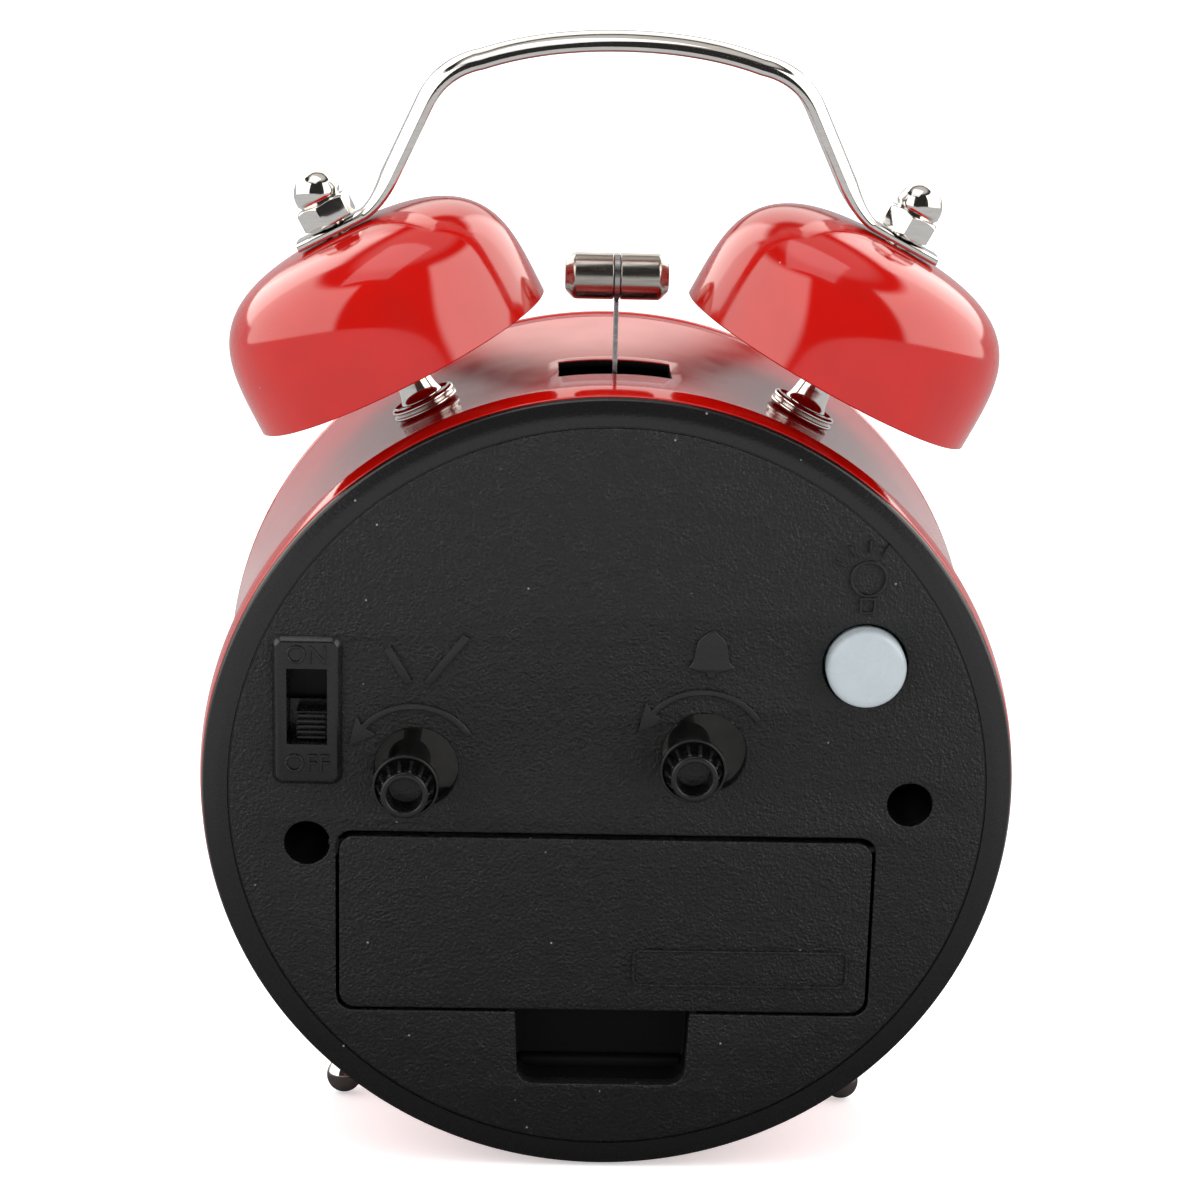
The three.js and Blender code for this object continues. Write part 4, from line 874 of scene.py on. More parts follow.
@dataclass
class Back:
    """The black moulded back cover with its wells, holes, battery bay and raised marks."""

    flange: float = 44.62
    flange_depth: float = 1.12
    skirt_radius: float = 43.9
    flat_radius: float = 41.5
    thickness: float = 1.8
    skirt: float = 6.0
    edge: float = 0.18
    well_radius: float = 2.5
    well_depth: float = 11.9
    wells: tuple[tuple[float, float], ...] = ((-33.0, -5.8), (33.3, -0.3))
    knob_holes: tuple[tuple[float, float], ...] = ((-21.05, 3.15), (10.45, 5.3))
    knob_hole_radius: float = 4.6
    button: tuple[float, float] = (27.6, 15.7)
    button_radius: float = 4.68
    switch: tuple[float, float, float, float] = (-36.75, 1.1, -29.05, 18.1)
    slot: tuple[float, float, float, float] = (-35.1, 5.9, -30.7, 14.5)
    door: tuple[float, float, float, float] = (-29.5, -25.3, 29.5, -4.9)
    door_gap: float = 0.35
    door_top_gap: float = 0.6
    recess_half: float = 9.8
    recess_low: float = -34.4
    recess_depth: float = 6.3
    letter_size: float = 2.9
    letter_rise: float = 0.3
    sunk: float = -0.2
    mark_rise: float = 0.34
    bar_rise: float = 0.32
    lamp_rise: float = 0.28
    hand_width: float = 0.9
    hand_bars: tuple[tuple[str, tuple, tuple], ...] = (
        ("hand_short", (-24.2, 16.8), (-21.9, 12.9)),
        ("hand_long", (-19.9, 12.9), (-15.7, 18.3)),
    )
    bell_outline: tuple[tuple[float, float, float], ...] = (
        (10.85, 19.6, 0.6), (9.2, 18.2, 0.8), (8.9, 15.9, 0.5), (8.3, 15.2, 0.1), (9.6, 14.75, 0.3),
        (10.3, 14.6, 0.2), (10.5, 14.0, 0.2), (11.2, 14.0, 0.2), (11.4, 14.6, 0.2), (12.1, 14.75, 0.3),
        (13.4, 15.2, 0.1), (12.8, 15.9, 0.5), (12.5, 18.2, 0.8),
    )
    lamp: tuple[float, float] = (27.5, 25.5)
    lamp_ring: tuple[float, float] = (2.05, 1.75)
    ray_angles: tuple[float, ...] = (62.0, 90.0, 122.0, 152.0)
    ray_reach: tuple[float, float] = (2.9, 4.3)
    ray_width: float = 0.26

    def build(self, maker: Maker) -> None:
        """Builds the cover's shell, its face, pockets and marks."""
        seat = maker.seat
        maker.hand_in(self.make_field(seat), "clock", "grained_black", "back_cover")
        maker.hand_in(self.make_rim(seat), "clock", "smooth_black")
        # painted shade: the wells, bay and recess take the darker, duller black that stands for the shade in
        # these hollows
        maker.hand_in(self.make_pockets(seat), "clock", "shaded_black")
        maker.hand_in(self.make_switch_plate(seat), "clock", "smooth_black")
        maker.hand_in(self.make_marks(seat), "clock", "smooth_black")

    def doorway(self) -> list[tuple]:
        """Outline of the battery doorway with the finger recess below it, run together."""
        u0, v0, u1, v1 = self.door
        u0, u1 = u0 - self.door_gap, u1 + self.door_gap
        v0, v1 = v0 - self.door_gap, v1 + self.door_top_gap
        r = self.recess_half
        corners = [(u0, v1, 2.1), (u0, v0, 2.1), (-r, v0, 0.15), (-r + 0.35, self.recess_low, 2.2),
                   (r - 0.35, self.recess_low, 2.2), (r, v0, 0.15), (u1, v0, 2.1), (u1, v1, 2.1)]
        return eased(corners, 1.0, closed=True, steps=8)

    def make_field(self, seat: Seat) -> bpy.types.Object:
        """The grained flat of the cover with every hole in it."""
        u0, v0, u1, v1 = self.switch
        holes = [circle(centre, self.well_radius, 64) for centre in self.wells]
        holes += [circle(centre, self.knob_hole_radius, 96) for centre in self.knob_holes]
        holes += [circle(self.button, self.button_radius, 96), self.doorway()]
        holes.append(rounded_box(u0 + 0.5, v0 + 0.5, u1 - 0.5, v1 - 0.5, 0.8))
        outline = circle((0.0, 0.0), self.flat_radius, 192)
        return flat_piece("cover_field", [outline, *holes], -self.thickness, 0.0, self.edge, seat.back())

    def make_rim(self, seat: Seat) -> bpy.types.Object:
        """The smooth rolled shoulder, flange and skirt round the field."""
        outer, flat, skirt = self.flange, self.flat_radius, self.skirt_radius
        shoulder = eased([(flat + 0.22, -0.05), (outer - 1.75, -0.10, 1.0), (outer - 0.2, -0.58, 0.9),
                          (outer, -self.flange_depth + 0.05)], 0.6, steps=10)
        profile = [(flat - 0.05, -self.thickness), (flat - 0.05, -0.28), (flat + 0.14, -0.28), *shoulder,
                   (outer - 0.06, -self.flange_depth), (skirt, -self.flange_depth), (skirt, -self.skirt),
                   (skirt - 1.3, -self.skirt), (skirt - 1.3, -self.thickness)]
        return turned("cover_rim", profile, seat.back(), 192, closed=True)

    def pipe(self, name: str, centre: Sequence[float], inner: float, depth: float, wall: float,
             seat: Seat, floor_hole: float = 0.0) -> bpy.types.Object:
        """An open pocket pressed into the cover: a wall and a floor, with a screw hole if asked."""
        place = seat.spot(centre)
        top = -self.edge
        profile = [(inner, top), (inner, -depth + 0.3), (inner - 0.3, -depth), (floor_hole, -depth),
                   (floor_hole, -depth - 1.5), (inner + wall, -depth - 1.5), (inner + wall, top)]
        return turned(name, profile, place, 64, closed=floor_hole > 0.0)

    def make_pockets(self, seat: Seat) -> bpy.types.Object:
        """The screw wells, the battery bay and the finger recess behind the face."""
        parts = [self.pipe(f"well_{i}", centre, self.well_radius, self.well_depth, 1.0, seat, 1.3)
                 for i, centre in enumerate(self.wells)]
        parts.append(self.make_bay(seat))
        parts.append(self.make_recess(seat))
        return merge("cover_pockets", parts)

    def tray(self, name: str, outer: Profile, inner: Profile, floor: float, wall: float, seat: Seat,
             top: float) -> bpy.types.Object:
        """An open tray behind the face.

        Args:
            name: the tray's name.
            outer: outline of its outside.
            inner: outline of its inside, with as many points.
            floor: height of its floor.
            wall: thickness of the floor.
            seat: the clock's frame.
            top: height of its open edge.

        Returns:
            The tray.
        """
        shape = bmesh.new()
        levels = ((inner, floor), (inner, top), (outer, top), (outer, floor - wall))
        rings = [[shape.verts.new((u, v, height)) for u, v in outline] for outline, height in levels]
        loft(shape, rings)
        shape.faces.new(rings[0])
        shape.faces.new(rings[-1])
        return soften(close_mesh(name, shape, seat.back()), 0.3, 3)

    def make_bay(self, seat: Seat) -> bpy.types.Object:
        """The deep tray that takes the cell."""
        u0, v0, u1, v1 = self.door
        outer = rounded_box(u0 - 0.2, v0 + 1.2, u1 + 0.2, v1 - 1.2, 1.5)
        inner = rounded_box(u0 + 0.8, v0 + 2.2, u1 - 0.8, v1 - 2.2, 0.8)
        return self.tray("bay", outer, inner, -18.8, 1.0, seat, -self.thickness + 0.02)

    def make_recess(self, seat: Seat) -> bpy.types.Object:
        """The tray that a finger reaches into to lift the door, with a step along its foot."""
        r, low, high = self.recess_half + 0.15, self.recess_low - 0.15, -22.5
        wall = 0.8
        inner = eased([(-r, high, 0.3), (-r + 0.3, low, 2.2), (r - 0.3, low, 2.2), (r, high, 0.3)],
                      1.0, closed=True)
        outer = eased([(-r - wall, high + wall, 0.4), (-r - wall + 0.3, low - wall, 2.8),
                       (r + wall - 0.3, low - wall, 2.8), (r + wall, high + wall, 0.4)], 1.0, closed=True)
        tray = self.tray("recess", outer, inner, -self.recess_depth, wall, seat, -0.3)
        step = block("recess_step", (-r + 0.6, low - 0.1, -self.recess_depth - 0.1),
                     (r - 0.6, low + 1.3, -self.recess_depth + 1.5), seat.back())
        return merge("recess", [tray, soften(step, 0.4, 3)])

    def make_switch_plate(self, seat: Seat) -> bpy.types.Object:
        """The raised plate round the alarm switch, with its sloping sides and the slot."""
        u0, v0, u1, v1 = self.switch
        s0, t0, s1, t1 = self.slot
        rise, slope = 0.75, 0.55
        low = rounded_box(u0, v0, u1, v1, 1.25)
        high = rounded_box(u0 + slope, v0 + slope, u1 - slope, v1 - slope, 0.75)
        shape = bmesh.new()
        rings = []
        for outline, height in ((low, -0.3), (low, 0.0), (high, rise)):
            rings.append([shape.verts.new((u, v, height)) for u, v in outline])
        loft(shape, rings)
        shape.faces.new(rings[-1])
        shape.faces.new(list(reversed(rings[0])))
        plate = soften(close_mesh("switch_plate", shape, seat.back()), 0.22, 3, 25.0)
        tool = block("slot_tool", (s0, t0, -9.0), (s1, t1, 5.0), seat.back())
        plate = carve(plate, [tool])
        walls = block("slot_walls", (s0 - 0.6, t0 - 0.6, -3.4), (s1 + 0.6, t1 + 0.6, -0.2), seat.back())
        inner = block("slot_inner", (s0, t0, -9.0), (s1, t1, 5.0), seat.back())
        words = [lettering(name, word, self.letter_size, ((u0 + u1) / 2, v), self.letter_rise,
                           seat.back(rise), 0.09)
                 for name, word, v in (("on_mark", "ON", v1 - 2.1), ("off_mark", "OFF", v0 + 2.55))]
        return merge("switch_plate", [plate, carve(walls, [inner]), *words])

    def arrow(self, name: str, centre: Sequence[float], seat: Seat) -> bpy.types.Object:
        """A raised curved arrow over a knob, pointing anticlockwise to the onlooker."""
        radius, half = 7.3, 0.36
        start, neck, tip = 34.0, 138.0, 160.0
        outline = arc(centre, radius + half, start, neck, 16)
        barb = math.radians(neck - 3.0)
        point = math.radians(tip)
        for reach, angle in ((radius + 1.5, barb), (radius + 0.3, point), (radius - 1.6, barb)):
            outline.append((centre[0] + reach * math.cos(angle), centre[1] + reach * math.sin(angle)))
        outline += arc(centre, radius - half, neck, start, 16)
        return flat_piece(name, [outline], self.sunk, self.mark_rise, 0.1, seat.back(), 2)

    def bar(self, name: str, start: Sequence[float], end: Sequence[float], width: float,
            seat: Seat) -> bpy.types.Object:
        """A raised straight bar between two points."""
        along = (Vector(end) - Vector(start)).normalized() * width / 2
        side = Vector((-along.y, along.x))
        corners = [Vector(start) - side, Vector(end) - side, Vector(end) + side, Vector(start) + side]
        outline = [tuple(corner) for corner in corners]
        return flat_piece(name, [outline], self.sunk, self.bar_rise, 0.08, seat.back(), 2)

    def make_marks(self, seat: Seat) -> bpy.types.Object:
        """The raised signs: two arrows, a pair of hands, a bell and a lamp."""
        parts = [self.arrow(f"arrow_{i}", (u - 0.3, v - 0.2), seat)
                 for i, (u, v) in enumerate(self.knob_holes)]
        for name, start, end in self.hand_bars:
            parts.append(self.bar(name, start, end, self.hand_width, seat))
        bell = eased(self.bell_outline, 0.3, closed=True)
        parts.append(flat_piece("bell_mark", [bell], self.sunk, self.mark_rise, 0.12, seat.back(), 2))
        u, v = self.lamp
        rings = [circle(self.lamp, radius, 48) for radius in self.lamp_ring]
        cap = [rounded_box(u - 0.9, v - 3.9, u + 0.9, v - 2.05, 0.25),
               rounded_box(u - 0.62, v - 3.62, u + 0.62, v - 2.35, 0.15)]
        parts += [flat_piece(name, outlines, self.sunk, self.lamp_rise, 0.06, seat.back(), 2)
                  for name, outlines in (("lamp_ring", rings), ("lamp_cap", cap))]
        near, far = self.ray_reach
        for i, angle in enumerate(self.ray_angles):
            ray = Vector((math.cos(math.radians(angle)), math.sin(math.radians(angle))))
            start, end = Vector(self.lamp) + ray * near, Vector(self.lamp) + ray * far
            parts.append(self.bar(f"ray_{i}", start, end, self.ray_width, seat))
        return merge("cover_marks", parts)


@dataclass
class BatteryDoor:
    """The battery door with its blank label panel, catch tongue and hinge pins."""

    low: tuple[float, float] = (-29.5, -25.3)
    high: tuple[float, float] = (29.5, -4.9)
    thickness: float = 1.5
    corner: float = 1.8
    panel: tuple[float, float, float, float] = (3.2, -22.2, 27.3, -17.8)
    hinge: tuple[float, float] = (-5.9, -1.0)
    pin_radius: float = 0.45
    pin_reach: float = 1.2

    def build(self, maker: Maker) -> None:
        """Builds the door."""
        seat = maker.seat
        outline = rounded_box(*self.low, *self.high, self.corner)
        plate = flat_piece("door_plate", [outline], -self.thickness, 0.0, 0.2, seat.back())
        u0, v0, u1, v1 = self.panel
        panel = flat_piece("door_panel", [rounded_box(u0, v0, u1, v1, 0.9)], -0.2, 0.2, 0.1, seat.back(), 2)
        frame_line = flat_piece("panel_line", [rounded_box(u0, v0, u1, v1, 0.9),
                                               rounded_box(u0 + 0.28, v0 + 0.28, u1 - 0.28, v1 - 0.28, 0.7)],
                                0.0, 0.4, 0.08, seat.back(), 2)
        tongue = soften(block("tongue", (-4.0, self.low[1] + 0.2, -3.4), (4.0, self.low[1] + 1.2, -1.3),
                              seat.back()), 0.2)
        pins = []
        for side in (-1.0, 1.0):
            end = self.high[0] + self.pin_reach
            place = seat.back() @ Matrix.Translation((side * (end - 1.2), *self.hinge)) @ \
                Matrix.Rotation(side * math.pi / 2, 4, "Y")
            pins.append(turned("pin", eased([(0, -1.0), (self.pin_radius, -1.0, 0.05),
                                             (self.pin_radius, 1.2, 0.15), (0, 1.2)], 0.1), place, 24))
        piece = merge("battery_door_shell", [plate, panel, frame_line, tongue, *pins])
        maker.hand_in(piece, "door", "grained_black", "battery_door")


# ------------------------------------------------------------------ bars set round a ring

class RingOfBars:
    """A Geometry Nodes tree that stands bars round a circle, each pointing outwards."""

    def __init__(self) -> None:
        """Builds the tree with its named inputs."""
        self.tree = bpy.data.node_groups.new("ring_of_bars", "GeometryNodeTree")
        self.tree.is_modifier = True
        sockets = self.tree.interface
        sockets.new_socket("Geometry", in_out="INPUT", socket_type="NodeSocketGeometry")
        self.sockets = {title: sockets.new_socket(title, in_out="INPUT", socket_type="NodeSocket" + kind)
                        for title, kind in (("Count", "Int"), ("Radius", "Float"), ("Bar", "Vector"),
                                            ("Material", "Material"))}
        sockets.new_socket("Geometry", in_out="OUTPUT", socket_type="NodeSocketGeometry")
        new = self.tree.nodes.new
        source, target = new("NodeGroupInput"), new("NodeGroupOutput")
        ring, bar = new("GeometryNodeMeshCircle"), new("GeometryNodeMeshCube")
        spread, point = new("GeometryNodeInstanceOnPoints"), new("FunctionNodeAlignRotationToVector")
        point.axis = "X"
        place, real, paint = (new("GeometryNodeInputPosition"), new("GeometryNodeRealizeInstances"),
                              new("GeometryNodeSetMaterial"))
        for giver, given, taker, taken in (
                (source, "Count", ring, "Vertices"), (source, "Radius", ring, "Radius"),
                (source, "Bar", bar, "Size"), (ring, "Mesh", spread, "Points"),
                (bar, "Mesh", spread, "Instance"), (place, "Position", point, "Vector"),
                (point, "Rotation", spread, "Rotation"), (spread, "Instances", real, "Geometry"),
                (real, "Geometry", paint, "Geometry"), (source, "Material", paint, "Material"),
                (paint, "Geometry", target, "Geometry")):
            self.tree.links.new(giver.outputs[given], taker.inputs[taken])

    def make(self, name: str, count: int, radius: float, bar: Sequence[float], place: Matrix,
             material: bpy.types.Material) -> bpy.types.Object:
        """Makes the bars as a plain piece.

        Args:
            name: the piece's name.
            count: how many bars.
            radius: circle of their middles.
            bar: size of a bar outwards, along the ring and along z.
            place: drawing frame to room.
            material: the finish's material.

        Returns:
            The piece.
        """
        holder = bpy.data.objects.new(name, bpy.data.meshes.new(name))
        bpy.context.scene.collection.objects.link(holder)
        ring = holder.modifiers.new("ring", "NODES")
        ring.node_group = self.tree
        for title, value in (("Count", count), ("Radius", radius), ("Bar", tuple(bar)),
                             ("Material", material)):
            ring[self.sockets[title].identifier] = value
        return redrawn(name, holder, place)


# ------------------------------------------------------------------ knobs, button and switch

@dataclass
class SettingKnob:
    """A hollow ribbed setting knob on its long shaft."""

    name: str
    body: str
    place: tuple[float, float]
    shaft_end: float
    neck: float = 2.35
    flange: float = 3.6
    flange_face: float = 4.7
    tip: float = 2.55
    height: float = 7.48
    bore: float = 1.88
    ribs: int = 14
    rib_circle: float = 2.75
    rib: tuple[float, float] = (0.75, 0.42)

    def build(self, maker: Maker, ring: RingOfBars) -> None:
        """Builds the knob.

        Args:
            maker: hands the piece in.
            ring: makes the ribs.
        """
        place = maker.seat.spot(self.place)
        face, top = self.flange_face, self.height
        core = self.tip - 0.45
        profile = eased([(0.0, self.shaft_end), (1.0, self.shaft_end, 0.2), (1.0, -6.0, 0.2),
                         (self.neck, -5.2, 0.3), (self.neck, face - 1.3, 0.3),
                         (self.flange - 0.25, face - 1.1, 0.2), (self.flange, face - 0.75, 0.15),
                         (self.flange, face, 0.12), (self.flange - 0.32, face, 0.1),
                         (self.flange - 0.42, face - 0.65, 0.1), (core, face - 0.65, 0.15),
                         (core, top - 1.0, 0.1), (self.tip, top - 0.85, 0.1),
                         (self.tip, top - 0.1, 0.12), (self.tip - 0.2, top, 0.1),
                         (self.bore + 0.12, top, 0.1), (self.bore, top - 0.15, 0.1),
                         (self.bore - 0.05, top - 3.2, 0.1), (0.0, top - 3.2)], 0.1, steps=4)
        shell = turned(self.name + "_shell", profile, place, 96)
        low, high = face - 0.7, top - 0.55
        ribs = ring.make(self.name + "_ribs", self.ribs, self.rib_circle, (*self.rib, high - low),
                         Matrix.Translation((0.0, 0.0, (low + high) / 2)),
                         maker.wardrobe.materials["smooth_black"])
        for vert in ribs.data.vertices:
            share = (vert.co.z - low) / (high - low)
            narrow = 1.06 - 0.2 * share
            vert.co.x *= narrow
            vert.co.y *= narrow
        ribs.data.transform(place)
        ribs = soften(ribs, 0.17, 3)
        maker.hand_in(merge(self.name, [shell, ribs]), self.body, "smooth_black", self.body_node())

    def body_node(self) -> str:
        """The CAD node that this knob stands for."""
        return self.name + "_knob"


@dataclass
class LightButton:
    """The white push button that lights the dial."""

    place: tuple[float, float] = (27.6, 15.7)
    radius: float = 4.35
    top: float = 2.25

    def build(self, maker: Maker) -> None:
        """Builds the button."""
        place = maker.seat.spot(self.place)
        profile = eased([(0.0, -4.4), (1.4, -4.4, 0.2), (1.4, -1.0, 0.2), (self.radius, -1.0, 0.2),
                         (self.radius, self.top - 0.15, 1.1), (0.0, self.top + 0.05)], 0.5, steps=10)
        maker.hand_in(turned("light_cap", profile, place, 128), "light", "milk_white", "light_button")


@dataclass
class AlarmSwitch:
    """The ribbed thumb of the alarm switch, down in its slot."""

    low: tuple[float, float] = (-34.15, 6.05)
    high: tuple[float, float] = (-30.85, 9.15)
    face: float = -0.45
    ribs: int = 5

    def build(self, maker: Maker) -> None:
        """Builds the thumb."""
        seat = maker.seat
        (u0, v0), (u1, v1) = self.low, self.high
        parts = [block("thumb", (u0, v0, -4.1), (u1, v1, self.face - 0.45), seat.back()),
                 block("skid", (u0 - 0.9, v0 - 0.7, -4.15), (u1 + 0.9, v1 + 0.7, -3.25), seat.back())]
        pitch = (v1 - v0) / self.ribs
        for i in range(self.ribs):
            start = v0 + i * pitch
            rib = block("rib", (u0 + 0.02, start + 0.03, self.face - 0.9),
                        (u1 - 0.02, start + pitch - 0.2, self.face), seat.back())
            parts.append(soften(rib, 0.12, 3))
        maker.hand_in(merge("switch_thumb", parts), "alarm_switch", "smooth_black", "alarm_slider")


# ------------------------------------------------------------------ bells, posts, nuts and handle

@dataclass
class BellSet:
    """The pair of bells on their posts, with collars and cap nuts."""

    tilt: float = 27.4
    plane: float = -16.0
    rim: float = 51.0
    height: float = 15.7
    radius: float = 17.44
    wall: float = 0.8
    hole: float = 1.7
    flatness: float = 3.8
    roundness: float = 2.9
    barrel: float = 45.0
    collar: float = 3.8
    post: float = 1.8
    across_flats: float = 5.5
    hex_height: float = 2.5
    nut_height: float = 6.0
    tongue: float = 1.0
    gap: float = 0.15

    def curve(self, radius: float, height: float, steps: int) -> list[tuple]:
        """The bell's side as (radius, z) from rim to crown, on a squarish oval."""
        points = []
        for i in range(steps + 1):
            turn = math.pi / 2 * i / steps
            out = radius * max(0.0, math.cos(turn)) ** (2.0 / self.roundness)
            points.append((max(out, self.hole), self.rim + height * math.sin(turn) ** (2.0 / self.flatness)))
            if out <= self.hole:
                break
        return points

    def build(self, maker: Maker) -> None:
        """Builds both sides."""
        for side, sign in (("right", 1.0), ("left", -1.0)):
            place = maker.seat.radial(sign * self.tilt, self.plane)
            maker.hand_in(self.make_bell(side, place), "clock", "red_enamel", f"bell_{side}")
            maker.hand_in(self.make_post(side, place), "clock", "nickel_plate", f"bell_post_{side}")
            maker.hand_in(self.make_collar(side, place), "clock", "nickel_plate", f"post_collar_{side}")
            maker.hand_in(self.make_nut(side, place), "clock", "nickel_plate", f"cap_nut_{side}")

    def make_bell(self, side: str, place: Matrix) -> bpy.types.Object:
        """One pressed bell with a turned rim."""
        outer = self.curve(self.radius, self.height, 56)
        inner = self.curve(self.radius - self.wall, self.height - self.wall, 56)
        lip = [(self.radius - self.wall / 2 - 0.38 * math.cos(math.radians(a)),
                self.rim + 0.12 - 0.3 * math.sin(math.radians(a))) for a in (20, 55, 90, 125, 160)]
        profile = list(reversed(inner)) + lip + outer
        return turned(f"bell_dome_{side}", profile, place, 192, closed=True)

    def make_post(self, side: str, place: Matrix) -> bpy.types.Object:
        """The post from inside the case up through the bell to its thread."""
        top = self.rim + self.height
        low = self.barrel
        profile = eased([(0.0, low - 5.0), (1.35, low - 5.0, 0.2), (1.35, low + 1.2, 0.1),
                         (2.5, low + 1.3, 0.2), (2.15, low + 2.1, 0.6), (self.post, low + 4.2, 0.8),
                         (self.post, top - 1.2, 0.2), (1.35, top - 1.1, 0.1), (1.35, top + 4.4, 0.2),
                         (0.0, top + 4.4)], 0.2)
        return turned(f"bell_stem_{side}", profile, place, 96)

    def make_collar(self, side: str, place: Matrix) -> bpy.types.Object:
        """Two dished washers at the foot of the post."""
        low, r = self.barrel + 0.05, self.collar
        profile = eased([(1.6, low), (r - 0.3, low, 0.1), (r, low + 0.2, 0.15), (r, low + 0.5, 0.15),
                         (r - 0.35, low + 0.62, 0.05), (r - 0.3, low + 0.75, 0.05),
                         (r - 0.05, low + 0.9, 0.12), (r - 0.05, low + 1.2, 0.15),
                         (r - 0.4, low + 1.4, 0.15), (r - 0.8, low + 1.1, 0.2), (1.6, low + 0.95)],
                        0.1, closed=True)
        return turned(f"foot_washer_{side}", profile, place, 96, closed=True)

    def make_nut(self, side: str, place: Matrix) -> bpy.types.Object:
        """An acorn nut: a chamfered hexagon under a ball-topped cap."""
        low = self.rim + self.height + 2 * self.gap + self.tongue
        corner = self.across_flats / math.sqrt(3.0)
        flat = self.across_flats / 2
        shape = bmesh.new()
        ring = [(corner * math.cos(math.radians(60 * i + 20)), corner * math.sin(math.radians(60 * i + 20)))
                for i in range(6)]
        levels = [[shape.verts.new((x, y, z)) for x, y in ring] for z in (low, low + self.hex_height)]
        loft(shape, levels)
        shape.faces.new(levels[1])
        shape.faces.new(list(reversed(levels[0])))
        hexagon = close_mesh("hexagon", shape, place)
        drop = (corner - flat) * 0.75
        top = low + self.hex_height
        cone = [(0.0, low - 0.01), (flat + 0.02, low - 0.01), (corner + 0.02, low + drop),
                (corner + 0.02, top - drop), (flat - 0.05, top + 0.01), (0.0, top + 0.01)]
        chamfer = turned("chamfer", cone, place, 96)
        hexagon = soften(carve(hexagon, [chamfer], "INTERSECT"), 0.08, 2, 25.0)
        radius = flat - 0.2
        base = low + self.hex_height - 0.2
        straight = low + self.nut_height - radius
        profile = [(radius - 0.35, base), (radius - 0.3, base + 0.35), (radius, base + 0.75)]
        profile += [(radius * math.cos(math.radians(a)), straight + radius * math.sin(math.radians(a)))
                    for a in range(0, 90, 6)]
        profile += [(0.0, straight + radius)]
        cap = turned("acorn", [(0.0, base), *profile], place, 64)
        return merge(f"acorn_nut_{side}", [hexagon, cap], 38.0)


@dataclass
class Handle:
    """The plated carrying handle, one strip bent over the bells with flat ends."""

    tilt: float = 27.4
    plane: float = -16.0
    tongue_low: float = 66.85
    tongue_thickness: float = 1.0
    tongue_reach: float = 4.3
    start: float = 5.3
    top: float = 81.3
    shoulder: tuple[float, float] = (19.2, 77.3)
    width: float = 6.4
    thickness: float = 1.9

    def side_path(self) -> list[tuple[Vector, float]]:
        """Middle line of the right half, from the square end to the top, with its fullness."""
        lean = math.radians(self.tilt)
        along = self.tongue_low + self.tongue_thickness / 2
        out = Vector((math.cos(lean), -math.sin(lean)))
        seat = Vector((along * math.sin(lean), along * math.cos(lean)))
        end = seat + out * self.tongue_reach
        start = seat - out * self.start
        shoulder, top = Vector(self.shoulder), Vector((0.0, self.top - self.thickness / 2))
        leg = (shoulder - start).normalized()
        points: list[tuple[Vector, float]] = [(end, 0.0), (seat, 0.0), (seat - out * 2.6, 0.0)]
        points += self.bend(start + out * 2.1, start, start + leg * 3.6, 10, 0.0, 1.0)
        points += [(start + leg * 6.0, 1.0)]
        after = Vector((shoulder.x - 4.2, shoulder.y + 0.85))
        points += self.bend(shoulder - leg * 4.2, shoulder, after, 12, 1.0, 1.0)
        points += self.bend(after, Vector((shoulder.x / 2 - 1.0, top.y)), top, 14, 1.0, 1.0)[1:]
        return points

    def bend(self, start: Vector, corner: Vector, end: Vector, steps: int, full0: float,
             full1: float) -> list[tuple[Vector, float]]:
        """A smooth bend from start to end round a corner, with fullness changing along it."""
        points = []
        for i in range(steps + 1):
            t = i / steps
            point = start * (1 - t) ** 2 + corner * 2 * t * (1 - t) + end * t ** 2
            points.append((point, full0 + (full1 - full0) * t))
        return points

    def section(self, full: float) -> list[tuple[float, float]]:
        """The strip's section across and outwards: flat at 0, crowned at 1."""
        half, flat = self.width / 2, self.tongue_thickness / 2
        inner = -flat - 0.25 * full
        crown = flat + (self.thickness - 2 * flat + 0.25) * full * 0.75
        points = []
        for i in range(13):
            turn = math.pi * i / 12
            across = half * math.cos(turn)
            lift = math.sin(turn) ** (0.35 + 0.45 * full)
            points.append((across, inner + 0.3 + (crown - inner - 0.3) * lift))
        points += [(-half + 0.12, inner + 0.08), (-half + 0.5, inner), (0.0, inner + 0.12 * full),
                   (half - 0.5, inner), (half - 0.12, inner + 0.08)]
        return points

    def build(self, maker: Maker) -> None:
        """Sweeps the strip and caps its ends."""
        right = self.side_path()
        left = [(Vector((-point.x, point.y)), full) for point, full in reversed(right[:-1])]
        path = right + left
        shape = bmesh.new()
        rings = []
        for i, (point, full) in enumerate(path):
            before, after = path[max(i - 1, 0)][0], path[min(i + 1, len(path) - 1)][0]
            run = (after - before).normalized()
            outward = Vector((run.y, -run.x))
            rings.append([shape.verts.new((point.x + outward.x * lift, self.plane + across,
                                           point.y + outward.y * lift))
                          for across, lift in self.section(full)])
        loft(shape, rings)
        shape.faces.new(rings[0])
        shape.faces.new(list(reversed(rings[-1])))
        strip = close_mesh("handle_strip", shape, maker.seat.clock, 50.0)
        maker.hand_in(strip, "clock", "nickel_plate", "handle")


# ------------------------------------------------------------------ hammer and feet

